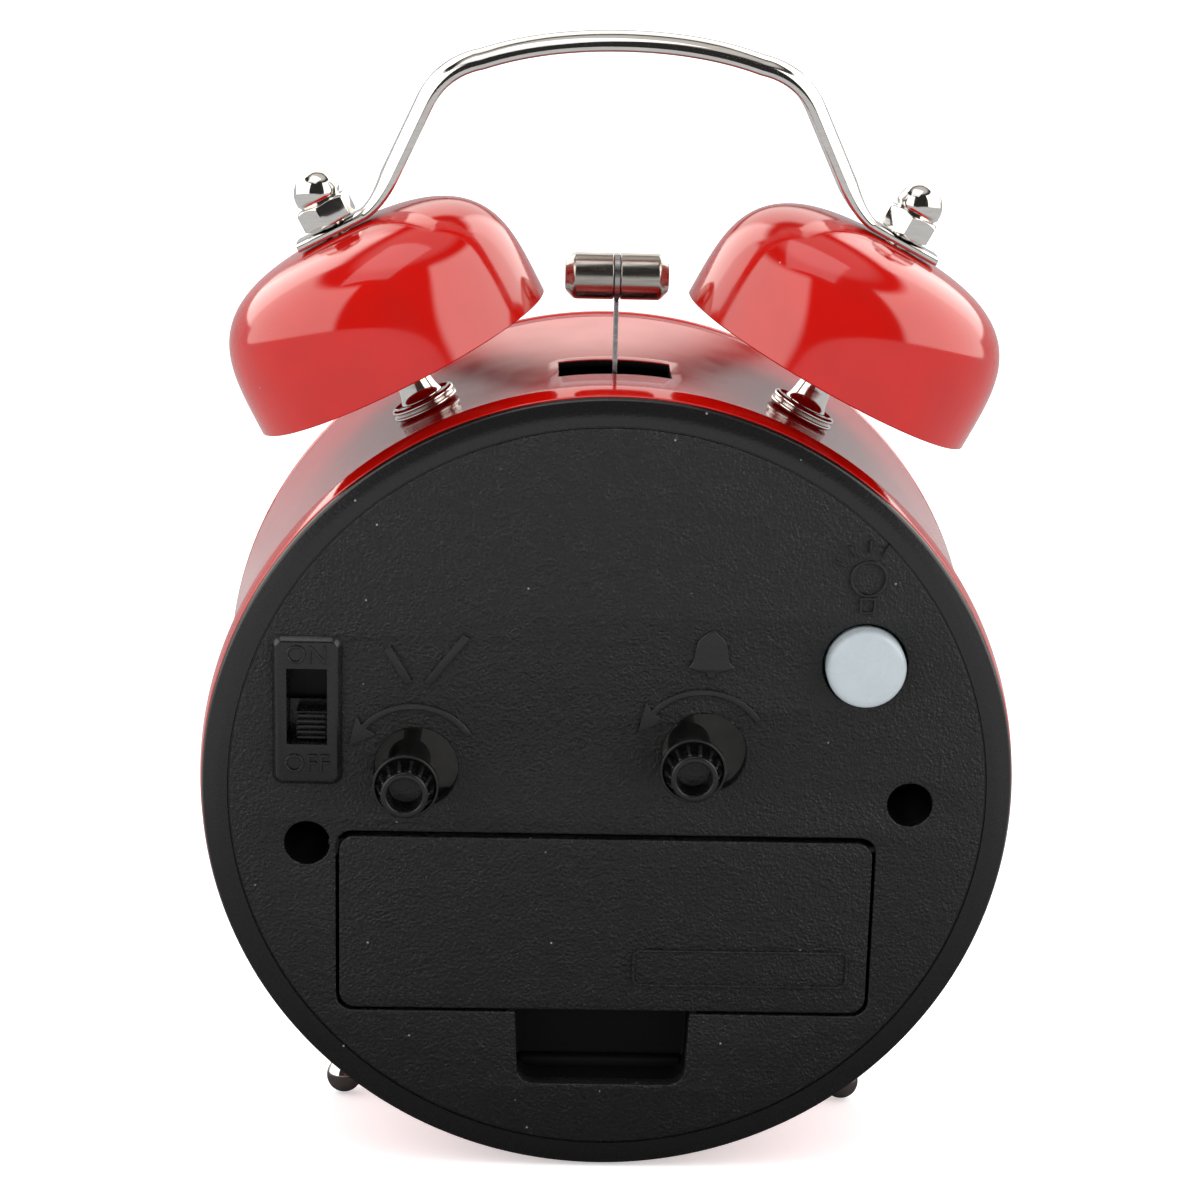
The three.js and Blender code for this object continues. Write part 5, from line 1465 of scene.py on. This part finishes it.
@dataclass
class Hammer:
    """The double-faced hammer on its thin arm."""

    plane: float = -16.0
    height: float = 55.1
    half: float = 5.7
    radius: float = 2.55
    pivot: float = 29.5
    arm_width: float = 2.2
    arm_thickness: float = 0.5
    tail: float = 6.0

    def build(self, maker: Maker) -> None:
        """Builds the head and the arm."""
        clock = maker.seat.clock
        r, half = self.radius, self.half
        near = [(0.0, half), (r - 1.0, half, 0.3), (r, half - 1.0, 0.3), (r, 0.42, 0.12), (r - 0.3, 0.3, 0.1)]
        side = near + [(a, -b, *rest) for a, b, *rest in reversed(near)]
        place = clock @ Matrix.Translation((0.0, self.plane, self.height))
        place = place @ Matrix.Rotation(math.pi / 2, 4, "Y")
        head = turned("hammer_faces", eased(side, 0.2, steps=5), place, 96)
        maker.hand_in(head, "hammer", "satin_nickel", "hammer_head")
        t, w = self.arm_thickness / 2, self.arm_width / 2
        arm = block("arm", (-t, self.plane - w, self.pivot - self.tail),
                    (t, self.plane + w, self.height - r - 0.05), clock)
        clasp = turned("clasp", [(r - 0.28, -0.28), (r + 0.02, -0.28), (r + 0.02, 0.28), (r - 0.28, 0.28)],
                       place, 64, closed=True)
        eye_place = clock @ Matrix.Translation((0.0, self.plane, self.pivot))
        eye_place = eye_place @ Matrix.Rotation(-math.pi / 2, 4, "X")
        eye = turned("eye", [(0.88, -w), (1.9, -w), (1.9, w), (0.88, w)], eye_place, 48, closed=True)
        arm = merge("hammer_strip", [soften(arm, 0.1), clasp, eye])
        maker.hand_in(arm, "hammer", "plain_steel", "hammer_arm")


@dataclass
class Feet:
    """The two splayed ball feet at the front."""

    angle: float = 33.1
    y: float = -29.0
    barrel: float = 45.0
    ball: float = 56.5
    ball_radius: float = 2.16
    stem: float = 1.3

    def build(self, maker: Maker) -> None:
        """Builds both feet."""
        low = self.barrel
        for side, sign in (("right", 1.0), ("left", -1.0)):
            place = maker.seat.radial(180.0 - sign * self.angle, self.y)
            neck = math.degrees(math.asin(self.stem / self.ball_radius))
            profile = eased([(0.0, low - 4.5), (1.35, low - 4.5, 0.2), (1.35, low + 0.05, 0.05),
                             (3.0, low + 0.05, 0.1), (3.0, low + 0.75, 0.3), (1.9, low + 1.3, 0.4),
                             (self.stem, low + 3.8, 1.2)], 0.2)
            base = self.ball - self.ball_radius * math.cos(math.radians(neck))
            profile += [(self.stem, base - 0.3)]
            steps = 18
            for i in range(steps + 1):
                turn = math.radians(180.0 - neck - (180.0 - neck) * i / steps)
                profile.append((self.ball_radius * math.sin(turn),
                                self.ball + self.ball_radius * math.cos(turn)))
            profile[-1] = (0.0, self.ball + self.ball_radius)
            foot = turned(f"ball_foot_{side}", profile, place, 64)
            for vert in foot.data.vertices:
                vert.co.z = max(vert.co.z, 0.0)
            maker.hand_in(foot, "clock", "nickel_plate", f"foot_{side}")


# ------------------------------------------------------------------ screws, front and hands

@dataclass
class CoverScrews:
    """The two cross-headed screws at the bottom of the cover's wells."""

    wells: tuple[tuple[float, float], ...] = ((-33.0, -5.8), (33.3, -0.3))
    names: tuple[str, ...] = ("cover_screw_left", "cover_screw_right")
    seat_depth: float = 11.95
    head: float = 2.2
    rise: float = 1.3
    shank: float = 1.1
    length: float = 6.0
    cross: tuple[float, float] = (2.6, 0.55)

    def build(self, maker: Maker) -> None:
        """Builds both screws."""
        low = -self.seat_depth
        tip = low - self.length
        profile = eased([(0.0, tip), (0.4, tip), (self.shank, tip + 1.0),
                         (self.shank, low), (self.head, low, 0.1), (self.head, low + self.rise * 0.6, 0.4),
                         (self.head * 0.6, low + self.rise, 0.6), (0.0, low + self.rise)], 0.15)
        for centre, node in zip(self.wells, self.names):
            place = maker.seat.spot(centre)
            screw = turned("screw", profile, place, 48)
            half, thin = self.cross[0] / 2, self.cross[1] / 2
            tools = [block("cross", (-half, -thin, low + 0.45), (half, thin, 0.0), place),
                     block("cross", (-thin, -half, low + 0.45), (thin, half, 0.0), place)]
            screw = carve(screw, tools)
            screw.name = screw.data.name = node.replace("cover_screw", "cross_screw")
            maker.hand_in(screw, "clock", "plain_steel", node)


@dataclass(frozen=True)
class Hand:
    """One hand of the dial: a tapered blade on a round boss, with a pale inlay if it has one."""

    name: str
    body: str
    finish: str
    length: float
    width: float
    boss: float
    hole: float
    angle: float
    front: float
    tail: float = 0.0
    inlay: bool = False
    thickness: float = 0.29

    def outline(self, shrink: float = 0.0) -> list[tuple]:
        """The blade and boss as one outline pointing up, drawn in by a distance."""
        half, boss = self.width / 2 - shrink, self.boss - shrink
        start = math.degrees(math.acos(half * 0.6 / boss))
        reach = self.length - shrink
        blade = [(half, boss + (reach - boss) * 0.28), (half * 0.92, reach * 0.86), (0.0, reach)]
        if self.tail:
            ring = arc((0.0, 0.0), boss, 180.0 - start, 270.0 - 16.0, 10)
            ring += [(-half, -self.tail), (half, -self.tail)]
            ring += arc((0.0, 0.0), boss, 270.0 + 16.0, 360.0 + start, 10)
        else:
            ring = arc((0.0, 0.0), boss, 180.0 - start, 360.0 + start, 32)
        return [*ring, *blade, *[(-x, y) for x, y in reversed(blade[:-1])]]

    def build(self, maker: Maker) -> None:
        """Builds the hand at its place over the dial."""
        place = maker.seat.dial(0.0) @ Matrix.Rotation(-math.radians(self.angle), 4, "Z")
        low, high = -self.front - self.thickness, -self.front
        outlines = [self.outline()]
        if self.hole:
            outlines.append(circle((0.0, 0.0), self.hole, 32))
        piece = flat_piece(self.name + "_blade", outlines, low, high, 0.07, place, 2)
        maker.hand_in(piece, self.body, self.finish, self.name)
        if self.inlay:
            half, reach = self.width / 2 - 0.45, self.length
            strip = eased([(-half, reach * 0.36, 0.3), (half, reach * 0.36, 0.3),
                           (half * 0.9, reach * 0.8, 0.2), (0.0, reach * 0.88, 0.2),
                           (-half * 0.9, reach * 0.8, 0.2)], 0.2, closed=True)
            pale = flat_piece(self.name + "_inlay", [strip], high - 0.05, high + 0.05, 0.02, place, 1)
            maker.hand_in(pale, self.body, "milk_white")


@dataclass
class Front:
    """Lens, spacer ring, printed dial and the four hands."""

    lens_radius: float = 43.9
    lens: tuple[float, float] = (-46.05, -44.55)
    ring: tuple[float, float] = (-44.2, -40.9)
    ring_outer: float = 44.0
    ring_inner: float = 41.2
    dial_radius: float = 43.3
    dial_face: float = -40.6
    dial_back: float = -39.8
    spindle_hole: float = 2.6
    numeral_circle: float = 33.2
    numeral_size: float = 7.6
    numeral_rise: float = 0.03
    track: float = 39.4
    minute_mark: tuple[float, float, float] = (1.5, 0.28, 0.05)
    hour_mark: tuple[float, float, float] = (2.4, 0.9, 0.06)
    hands: tuple[Hand, ...] = (
        Hand("alarm_hand", "alarm_indicator", "red_lacquer", 17.0, 1.6, 3.55, 2.22, 180.0, -41.12),
        Hand("hour_hand", "hours", "black_lacquer", 20.0, 2.6, 3.0, 1.62, 304.5, -41.82, inlay=True),
        Hand("minute_hand", "minutes", "black_lacquer", 30.5, 2.0, 2.5, 1.02, 54.0, -42.52, inlay=True),
        Hand("second_hand", "seconds", "red_lacquer", 32.0, 0.7, 1.5, 0.0, 210.0, -43.22, tail=7.0),
    )

    def build(self, maker: Maker, ring: RingOfBars) -> None:
        """Builds the front of the clock.

        Args:
            maker: hands the pieces in.
            ring: makes the minute marks.
        """
        seat = maker.seat
        back = seat.clock @ Matrix.Rotation(-math.pi / 2, 4, "X")
        low, high = self.lens
        sheet = eased([(0.0, low), (self.lens_radius, low, 0.15), (self.lens_radius, high, 0.15),
                       (0.0, high)], 0.1)
        maker.hand_in(turned("lens_sheet", sheet, back, 192), "clock", "clear_sheet", "lens")
        low, high = self.ring
        band = eased([(self.ring_inner, low, 0.3), (self.ring_outer, low, 0.2), (self.ring_outer, high, 0.2),
                      (self.ring_inner - 0.7, high, 0.3)], 0.2, closed=True)
        spacer = turned("dial_spacer", band, back, 192, closed=True)
        maker.hand_in(spacer, "clock", "smooth_black", "dial_ring")
        hole, rim, face, back_face = self.spindle_hole, self.dial_radius, self.dial_face, self.dial_back
        plate = eased([(hole, face), (rim, face), (rim, back_face), (hole, back_face)], 0.05, closed=True)
        maker.hand_in(turned("dial_card", plate, back, 192, closed=True), "clock", "dial_card", "dial")
        self.print_dial(maker, ring)
        for hand in self.hands:
            hand.build(maker)

    def print_dial(self, maker: Maker, ring: RingOfBars) -> None:
        """Prints plain numerals and the minute track on the card."""
        face = maker.seat.dial(self.dial_face)
        parts = []
        for hour in range(1, 13):
            turn = math.radians(30.0 * hour)
            centre = (self.numeral_circle * math.sin(turn), self.numeral_circle * math.cos(turn))
            parts.append(lettering(f"numeral_{hour}", str(hour), self.numeral_size, centre,
                                   self.numeral_rise, face))
        ink = maker.wardrobe.materials["dial_ink"]
        parts.append(ring.make("minute_marks", 60, self.track, self.minute_mark, face, ink))
        parts.append(ring.make("hour_marks", 12, self.track - 0.3, self.hour_mark, face, ink))
        maker.hand_in(merge("dial_print", parts), "clock", "dial_ink")


# ------------------------------------------------------------------ what is inside

@dataclass
class Inside:
    """The cell with its contacts, and finishes for the parts that stay as the frame has them."""

    cell_radius: float = 7.05
    button_radius: float = 2.7
    finishes: tuple[tuple[str, tuple[str, ...]], ...] = (
        # painted shade: these parts inside the case take the darker, duller black that stands for shade
        ("shaded_black", ("inner_frame", "light_switch", "alarm_switch_body")),
        ("movement_grey", ("movement_plate",)),
        ("gear_white", ("movement_shell", "minute_wheel", "hour_wheel", "alarm_wheel", "second_wheel",
                        "motion_wheel", "setting_idler", "time_set_gear", "alarm_set_gear")),
        ("plain_steel", ("stepper_stator", "positive_contact", "hammer_pivot", "hammer_bracket",
                         "post_nut_left", "post_nut_right", "foot_nut_left", "foot_nut_right")),
        ("satin_nickel", ("alarm_motor", "negative_contact")),
        ("copper_wire", ("stepper_coil",)),
        ("board_green", ("circuit_board",)),
        ("turned_brass", ("motor_cam",)),
    )

    def build(self, maker: Maker, nodes: dict[str, bpy.types.Object]) -> None:
        """Builds the cell and dresses the carried-over parts.

        Args:
            maker: hands the pieces in.
            nodes: the frame's objects by node name.
        """
        self.make_cell(maker)
        for finish, names in self.finishes:
            material = maker.wardrobe.materials[finish]
            for name in names:
                piece = nodes[name]
                for slot in piece.material_slots:
                    slot.material = material
                LOG.info("%s keeps its shape, in %s", name, finish)

    def make_cell(self, maker: Maker) -> None:
        """The cell: a sleeved can with its button end."""
        low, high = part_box("battery_cell")
        turn = maker.seat.clock.inverted()
        start, end = turn @ Vector(low), turn @ Vector(high)
        middle = (start + end) / 2
        x0, x1 = sorted((start.x, end.x))
        r, b = self.cell_radius, self.button_radius
        length = x1 - x0
        place = maker.seat.clock @ Matrix.Translation((x0, middle.y, middle.z))
        place = place @ Matrix.Rotation(math.pi / 2, 4, "Y")
        profile = eased([(0.0, 0.25), (r - 1.6, 0.25, 0.2), (r - 1.2, 0.0, 0.2), (r - 0.35, 0.0, 0.3),
                         (r, 0.5, 0.3), (r, length - 1.7, 0.4), (r - 0.9, length - 1.2, 0.3),
                         (b + 1.2, length - 1.25, 0.2), (b + 0.5, length - 1.0, 0.2), (b, length - 0.9, 0.2),
                         (b, length - 0.1, 0.3), (0.0, length)], 0.2)
        cell = turned("cell_can", profile, place, 96)
        maker.hand_in(cell, "clock", "cell_sleeve", "battery_cell")


# ------------------------------------------------------------------ studio and camera

@dataclass(frozen=True)
class SoftBox:
    """A bright window of the studio as glossy surfaces see it, in degrees round the clock."""

    middle: float
    half_width: float
    low: float
    high: float
    level: float
    edge: float = 2.5


@dataclass
class Studio:
    """Pale floor running up into a backdrop, under an even sky with soft boxes in its reflections."""

    floor_half: float = 4.0
    back_edge: float = 4.0
    bend_start: float = -2.0
    bend: float = 0.3
    bend_steps: int = 16
    wall_height: float = 0.9
    floor_drop: float = 0.0002
    floor_tone: float = 0.9
    table_glow: float = 0.45
    # painted shadow in reflections: (distance from the clock in metres, floor tone) at the near and far ends
    # of the darkening
    floor_shadow_near: tuple[float, float] = (0.045, 0.07)
    floor_shadow_far: tuple[float, float] = (0.155, 0.42)
    daylight: float = 1.4
    gloom: float = 0.03
    lamp_tint: tuple[float, float, float] = (1.0, 0.955, 0.90)
    top_place: tuple[float, float, float] = (0.25, 0.35, 1.3)
    top_size: float = 0.9
    top_power: float = 3.0
    aim: tuple[float, float, float] = (0.0, 0.0, 0.06)
    boxes: tuple[SoftBox, ...] = (
        SoftBox(98.0, 60.0, -20.0, 44.0, 2.3, 5.0),
        SoftBox(-100.0, 58.0, -20.0, 48.0, 2.7, 5.0),
        SoftBox(140.0, 14.0, -20.0, 50.0, 3.2, 6.0),
        SoftBox(-140.0, 14.0, -20.0, 50.0, 3.2, 6.0),
        SoftBox(180.0, 40.0, 24.5, 50.0, 1.6, 4.0),
        SoftBox(0.0, 400.0, 66.0, 100.0, 0.7, 8.0),
    )

    def build(self) -> None:
        """Builds the floor, the lights and the sky."""
        self.make_floor()
        self.make_sky()
        self.add_light("top_box", self.top_place, self.top_size, self.top_power)

    def make_floor(self) -> None:
        """The floor sheet, curved up behind the clock as the camera sees it."""
        shape = bmesh.new()
        points = [(self.back_edge, 0.0), (self.bend_start, 0.0)]
        for i in range(1, self.bend_steps + 1):
            turn = math.pi / 2 * i / self.bend_steps
            points.append((self.bend_start - self.bend * math.sin(turn), self.bend * (1 - math.cos(turn))))
        points.append((self.bend_start - self.bend, self.wall_height))
        rows = [[shape.verts.new((side * self.floor_half, y, z - self.floor_drop)) for side in (-1, 1)]
                for y, z in points]
        for first, second in zip(rows, rows[1:]):
            shape.faces.new((first[0], second[0], second[1], first[1]))
        mesh = bpy.data.meshes.new("floor")
        shape.to_mesh(mesh)
        shape.free()
        floor = finish_mesh("floor", mesh)
        mesh.materials.append(self.floor_material())

    def floor_material(self) -> bpy.types.Material:
        """A pale glowing table whose reflection carries painted shade: glossy surfaces mirror it dimly,
        darker close to the clock.
        """
        material = bpy.data.materials.new("pale_sweep")
        material.use_nodes = True
        shader = material.node_tree.nodes["Principled BSDF"]
        nodes = Nodes(material.node_tree)
        span = nodes.add("VectorMath", "LENGTH", Vector=nodes.add("TexCoord").outputs["Object"])
        near, far = self.floor_shadow_near, self.floor_shadow_far
        # painted shadow: for glossy rays the floor darkens towards the clock
        mirrored_shade = nodes.ramp(span.outputs["Value"], near[0], far[0], near[1], far[1])
        glossy = nodes.add("LightPath").outputs["Is Glossy Ray"]
        shaded_mirror_tone = nodes.add("CombineColor", Red=mirrored_shade, Green=mirrored_shade, Blue=mirrored_shade).outputs[0]
        nodes.feed(shader, "Base Color", nodes.mix(glossy, (*(self.floor_tone,) * 3, 1.0), shaded_mirror_tone))
        seen = nodes.add("LightPath").outputs["Is Camera Ray"]
        nodes.feed(shader, "Emission Strength", nodes.math("MULTIPLY", seen, self.table_glow))
        shader.inputs["Emission Color"].default_value = (1.0, 1.0, 1.0, 1.0)
        shader.inputs["Roughness"].default_value = 0.8
        shader.inputs["Specular IOR Level"].default_value = 0.0
        return material

    def make_sky(self) -> None:
        """An even pale sky that glossy surfaces see as a dim room with soft boxes."""
        world = bpy.data.worlds.new("studio_sky")
        world.use_nodes = True
        nodes = Nodes(world.node_tree)
        split = nodes.add("SeparateXYZ", Vector=nodes.add("TexCoord").outputs["Generated"])
        x, y, z = (split.outputs[axis] for axis in "XYZ")
        turn = nodes.math("DEGREES", nodes.math("ARCTAN2", x, y))
        rise = nodes.math("DEGREES", nodes.math("ARCSINE", z))
        room: Any = self.gloom
        for box in self.boxes:
            window = self.window(nodes, turn, rise, box)
            room = nodes.math("MAXIMUM", room, nodes.math("MULTIPLY", window, box.level))
        glossy = nodes.add("LightPath").outputs["Is Glossy Ray"]
        even = nodes.math("MULTIPLY", nodes.math("SUBTRACT", 1.0, glossy), self.daylight)
        seen = nodes.math("ADD", even, nodes.math("MULTIPLY", glossy, room))
        shader = world.node_tree.nodes["Background"]
        nodes.feed(shader, "Color", nodes.mix(glossy, (1.0, 1.0, 1.0, 1.0), (*self.lamp_tint, 1.0)))
        nodes.feed(shader, "Strength", seen)
        world.cycles.sampling_method = "NONE"
        bpy.context.scene.world = world

    def window(self, nodes: Nodes, turn: bpy.types.NodeSocket, rise: bpy.types.NodeSocket,
               box: SoftBox) -> bpy.types.NodeSocket:
        """A mask that is 1 inside a soft box and falls off over its edge.

        Args:
            nodes: the sky's nodes.
            turn: direction round the clock in degrees, 0 towards the camera's side.
            rise: direction above the floor in degrees.
            box: the soft box.

        Returns:
            The mask.
        """
        offset = nodes.math("WRAP", nodes.math("SUBTRACT", turn, box.middle), 180.0, -180.0)
        away = nodes.math("ABSOLUTE", offset)
        beside = nodes.ramp(away, box.half_width, box.half_width + box.edge, 1.0, 0.0)
        under = nodes.ramp(rise, box.high, box.high + box.edge, 1.0, 0.0)
        over = nodes.ramp(rise, box.low - box.edge, box.low, 0.0, 1.0)
        return nodes.math("MULTIPLY", beside, nodes.math("MULTIPLY", under, over))

    def add_light(self, name: str, place: Sequence[float], size: float, power: float) -> None:
        """Adds a square soft box that faces the clock.

        Args:
            name: the light's name.
            place: where it hangs, in metres.
            size: its side.
            power: its power in watts.
        """
        light = bpy.data.lights.new(name, "AREA")
        light.shape = "SQUARE"
        light.size = size
        light.energy = power
        lamp = bpy.data.objects.new(name, light)
        bpy.context.scene.collection.objects.link(lamp)
        lamp.location = place
        aim = Vector(self.aim) - Vector(place)
        lamp.rotation_euler = aim.to_track_quat("-Z", "Y").to_euler()


@dataclass
class Viewpoint:
    """The camera, given in the clock's back frame: u right, v up, w out of the cover."""

    place: tuple[float, float, float] = (-9.3, 104.8, 289.8)
    azimuth: float = -1.56
    elevation: float = 15.83
    roll: float = 1.44
    focal: float = 84.0
    sensor: float = 36.0

    def build(self, seat: Seat) -> None:
        """Adds the camera.

        Args:
            seat: the clock's frame.
        """
        az, el, roll = (math.radians(v) for v in (self.azimuth, self.elevation, self.roll))
        look = Vector((math.sin(az) * math.cos(el), math.sin(el), math.cos(az) * math.cos(el)))
        level = Vector((look.z, 0.0, -look.x)).normalized()
        rise = look.cross(level)
        right = level * math.cos(roll) + rise * math.sin(roll)
        top = rise * math.cos(roll) - level * math.sin(roll)
        turn = Matrix((right, top, look)).transposed().to_4x4()
        rest = seat.back() @ Matrix.Translation(self.place) @ turn
        data = bpy.data.cameras.new("viewpoint")
        data.lens = self.focal
        data.sensor_width = self.sensor
        data.clip_start = 0.01
        camera = bpy.data.objects.new("viewpoint", data)
        bpy.context.scene.collection.objects.link(camera)
        place, spin, _ = rest.decompose()
        camera.matrix_world = Matrix.Translation(place) @ spin.to_matrix().to_4x4()
        bpy.context.scene.camera = camera


def main() -> None:
    """Builds the clock in order and notes each piece."""
    logging.basicConfig(level=logging.INFO, format="%(message)s")
    bpy.context.scene.view_settings.view_transform = "Standard"
    seat = Seat(frame["joints"])
    Viewpoint().build(seat)
    Studio().build()
    maker = Maker(seat, Wardrobe())
    ring = RingOfBars()
    Case().build(maker)
    Back().build(maker)
    BatteryDoor().build(maker)
    for knob in (SettingKnob("time_set", "time_setting", (-22.0, 2.55), -32.9),
                 SettingKnob("alarm_set", "alarm_setting", (9.0, 4.9), -36.5)):
        knob.build(maker, ring)
    LightButton().build(maker)
    AlarmSwitch().build(maker)
    CoverScrews().build(maker)
    BellSet().build(maker)
    Handle().build(maker)
    Hammer().build(maker)
    Feet().build(maker)
    Front().build(maker, ring)
    Inside().build(maker, frame["nodes"])


if __name__ == "__main__":
    main()
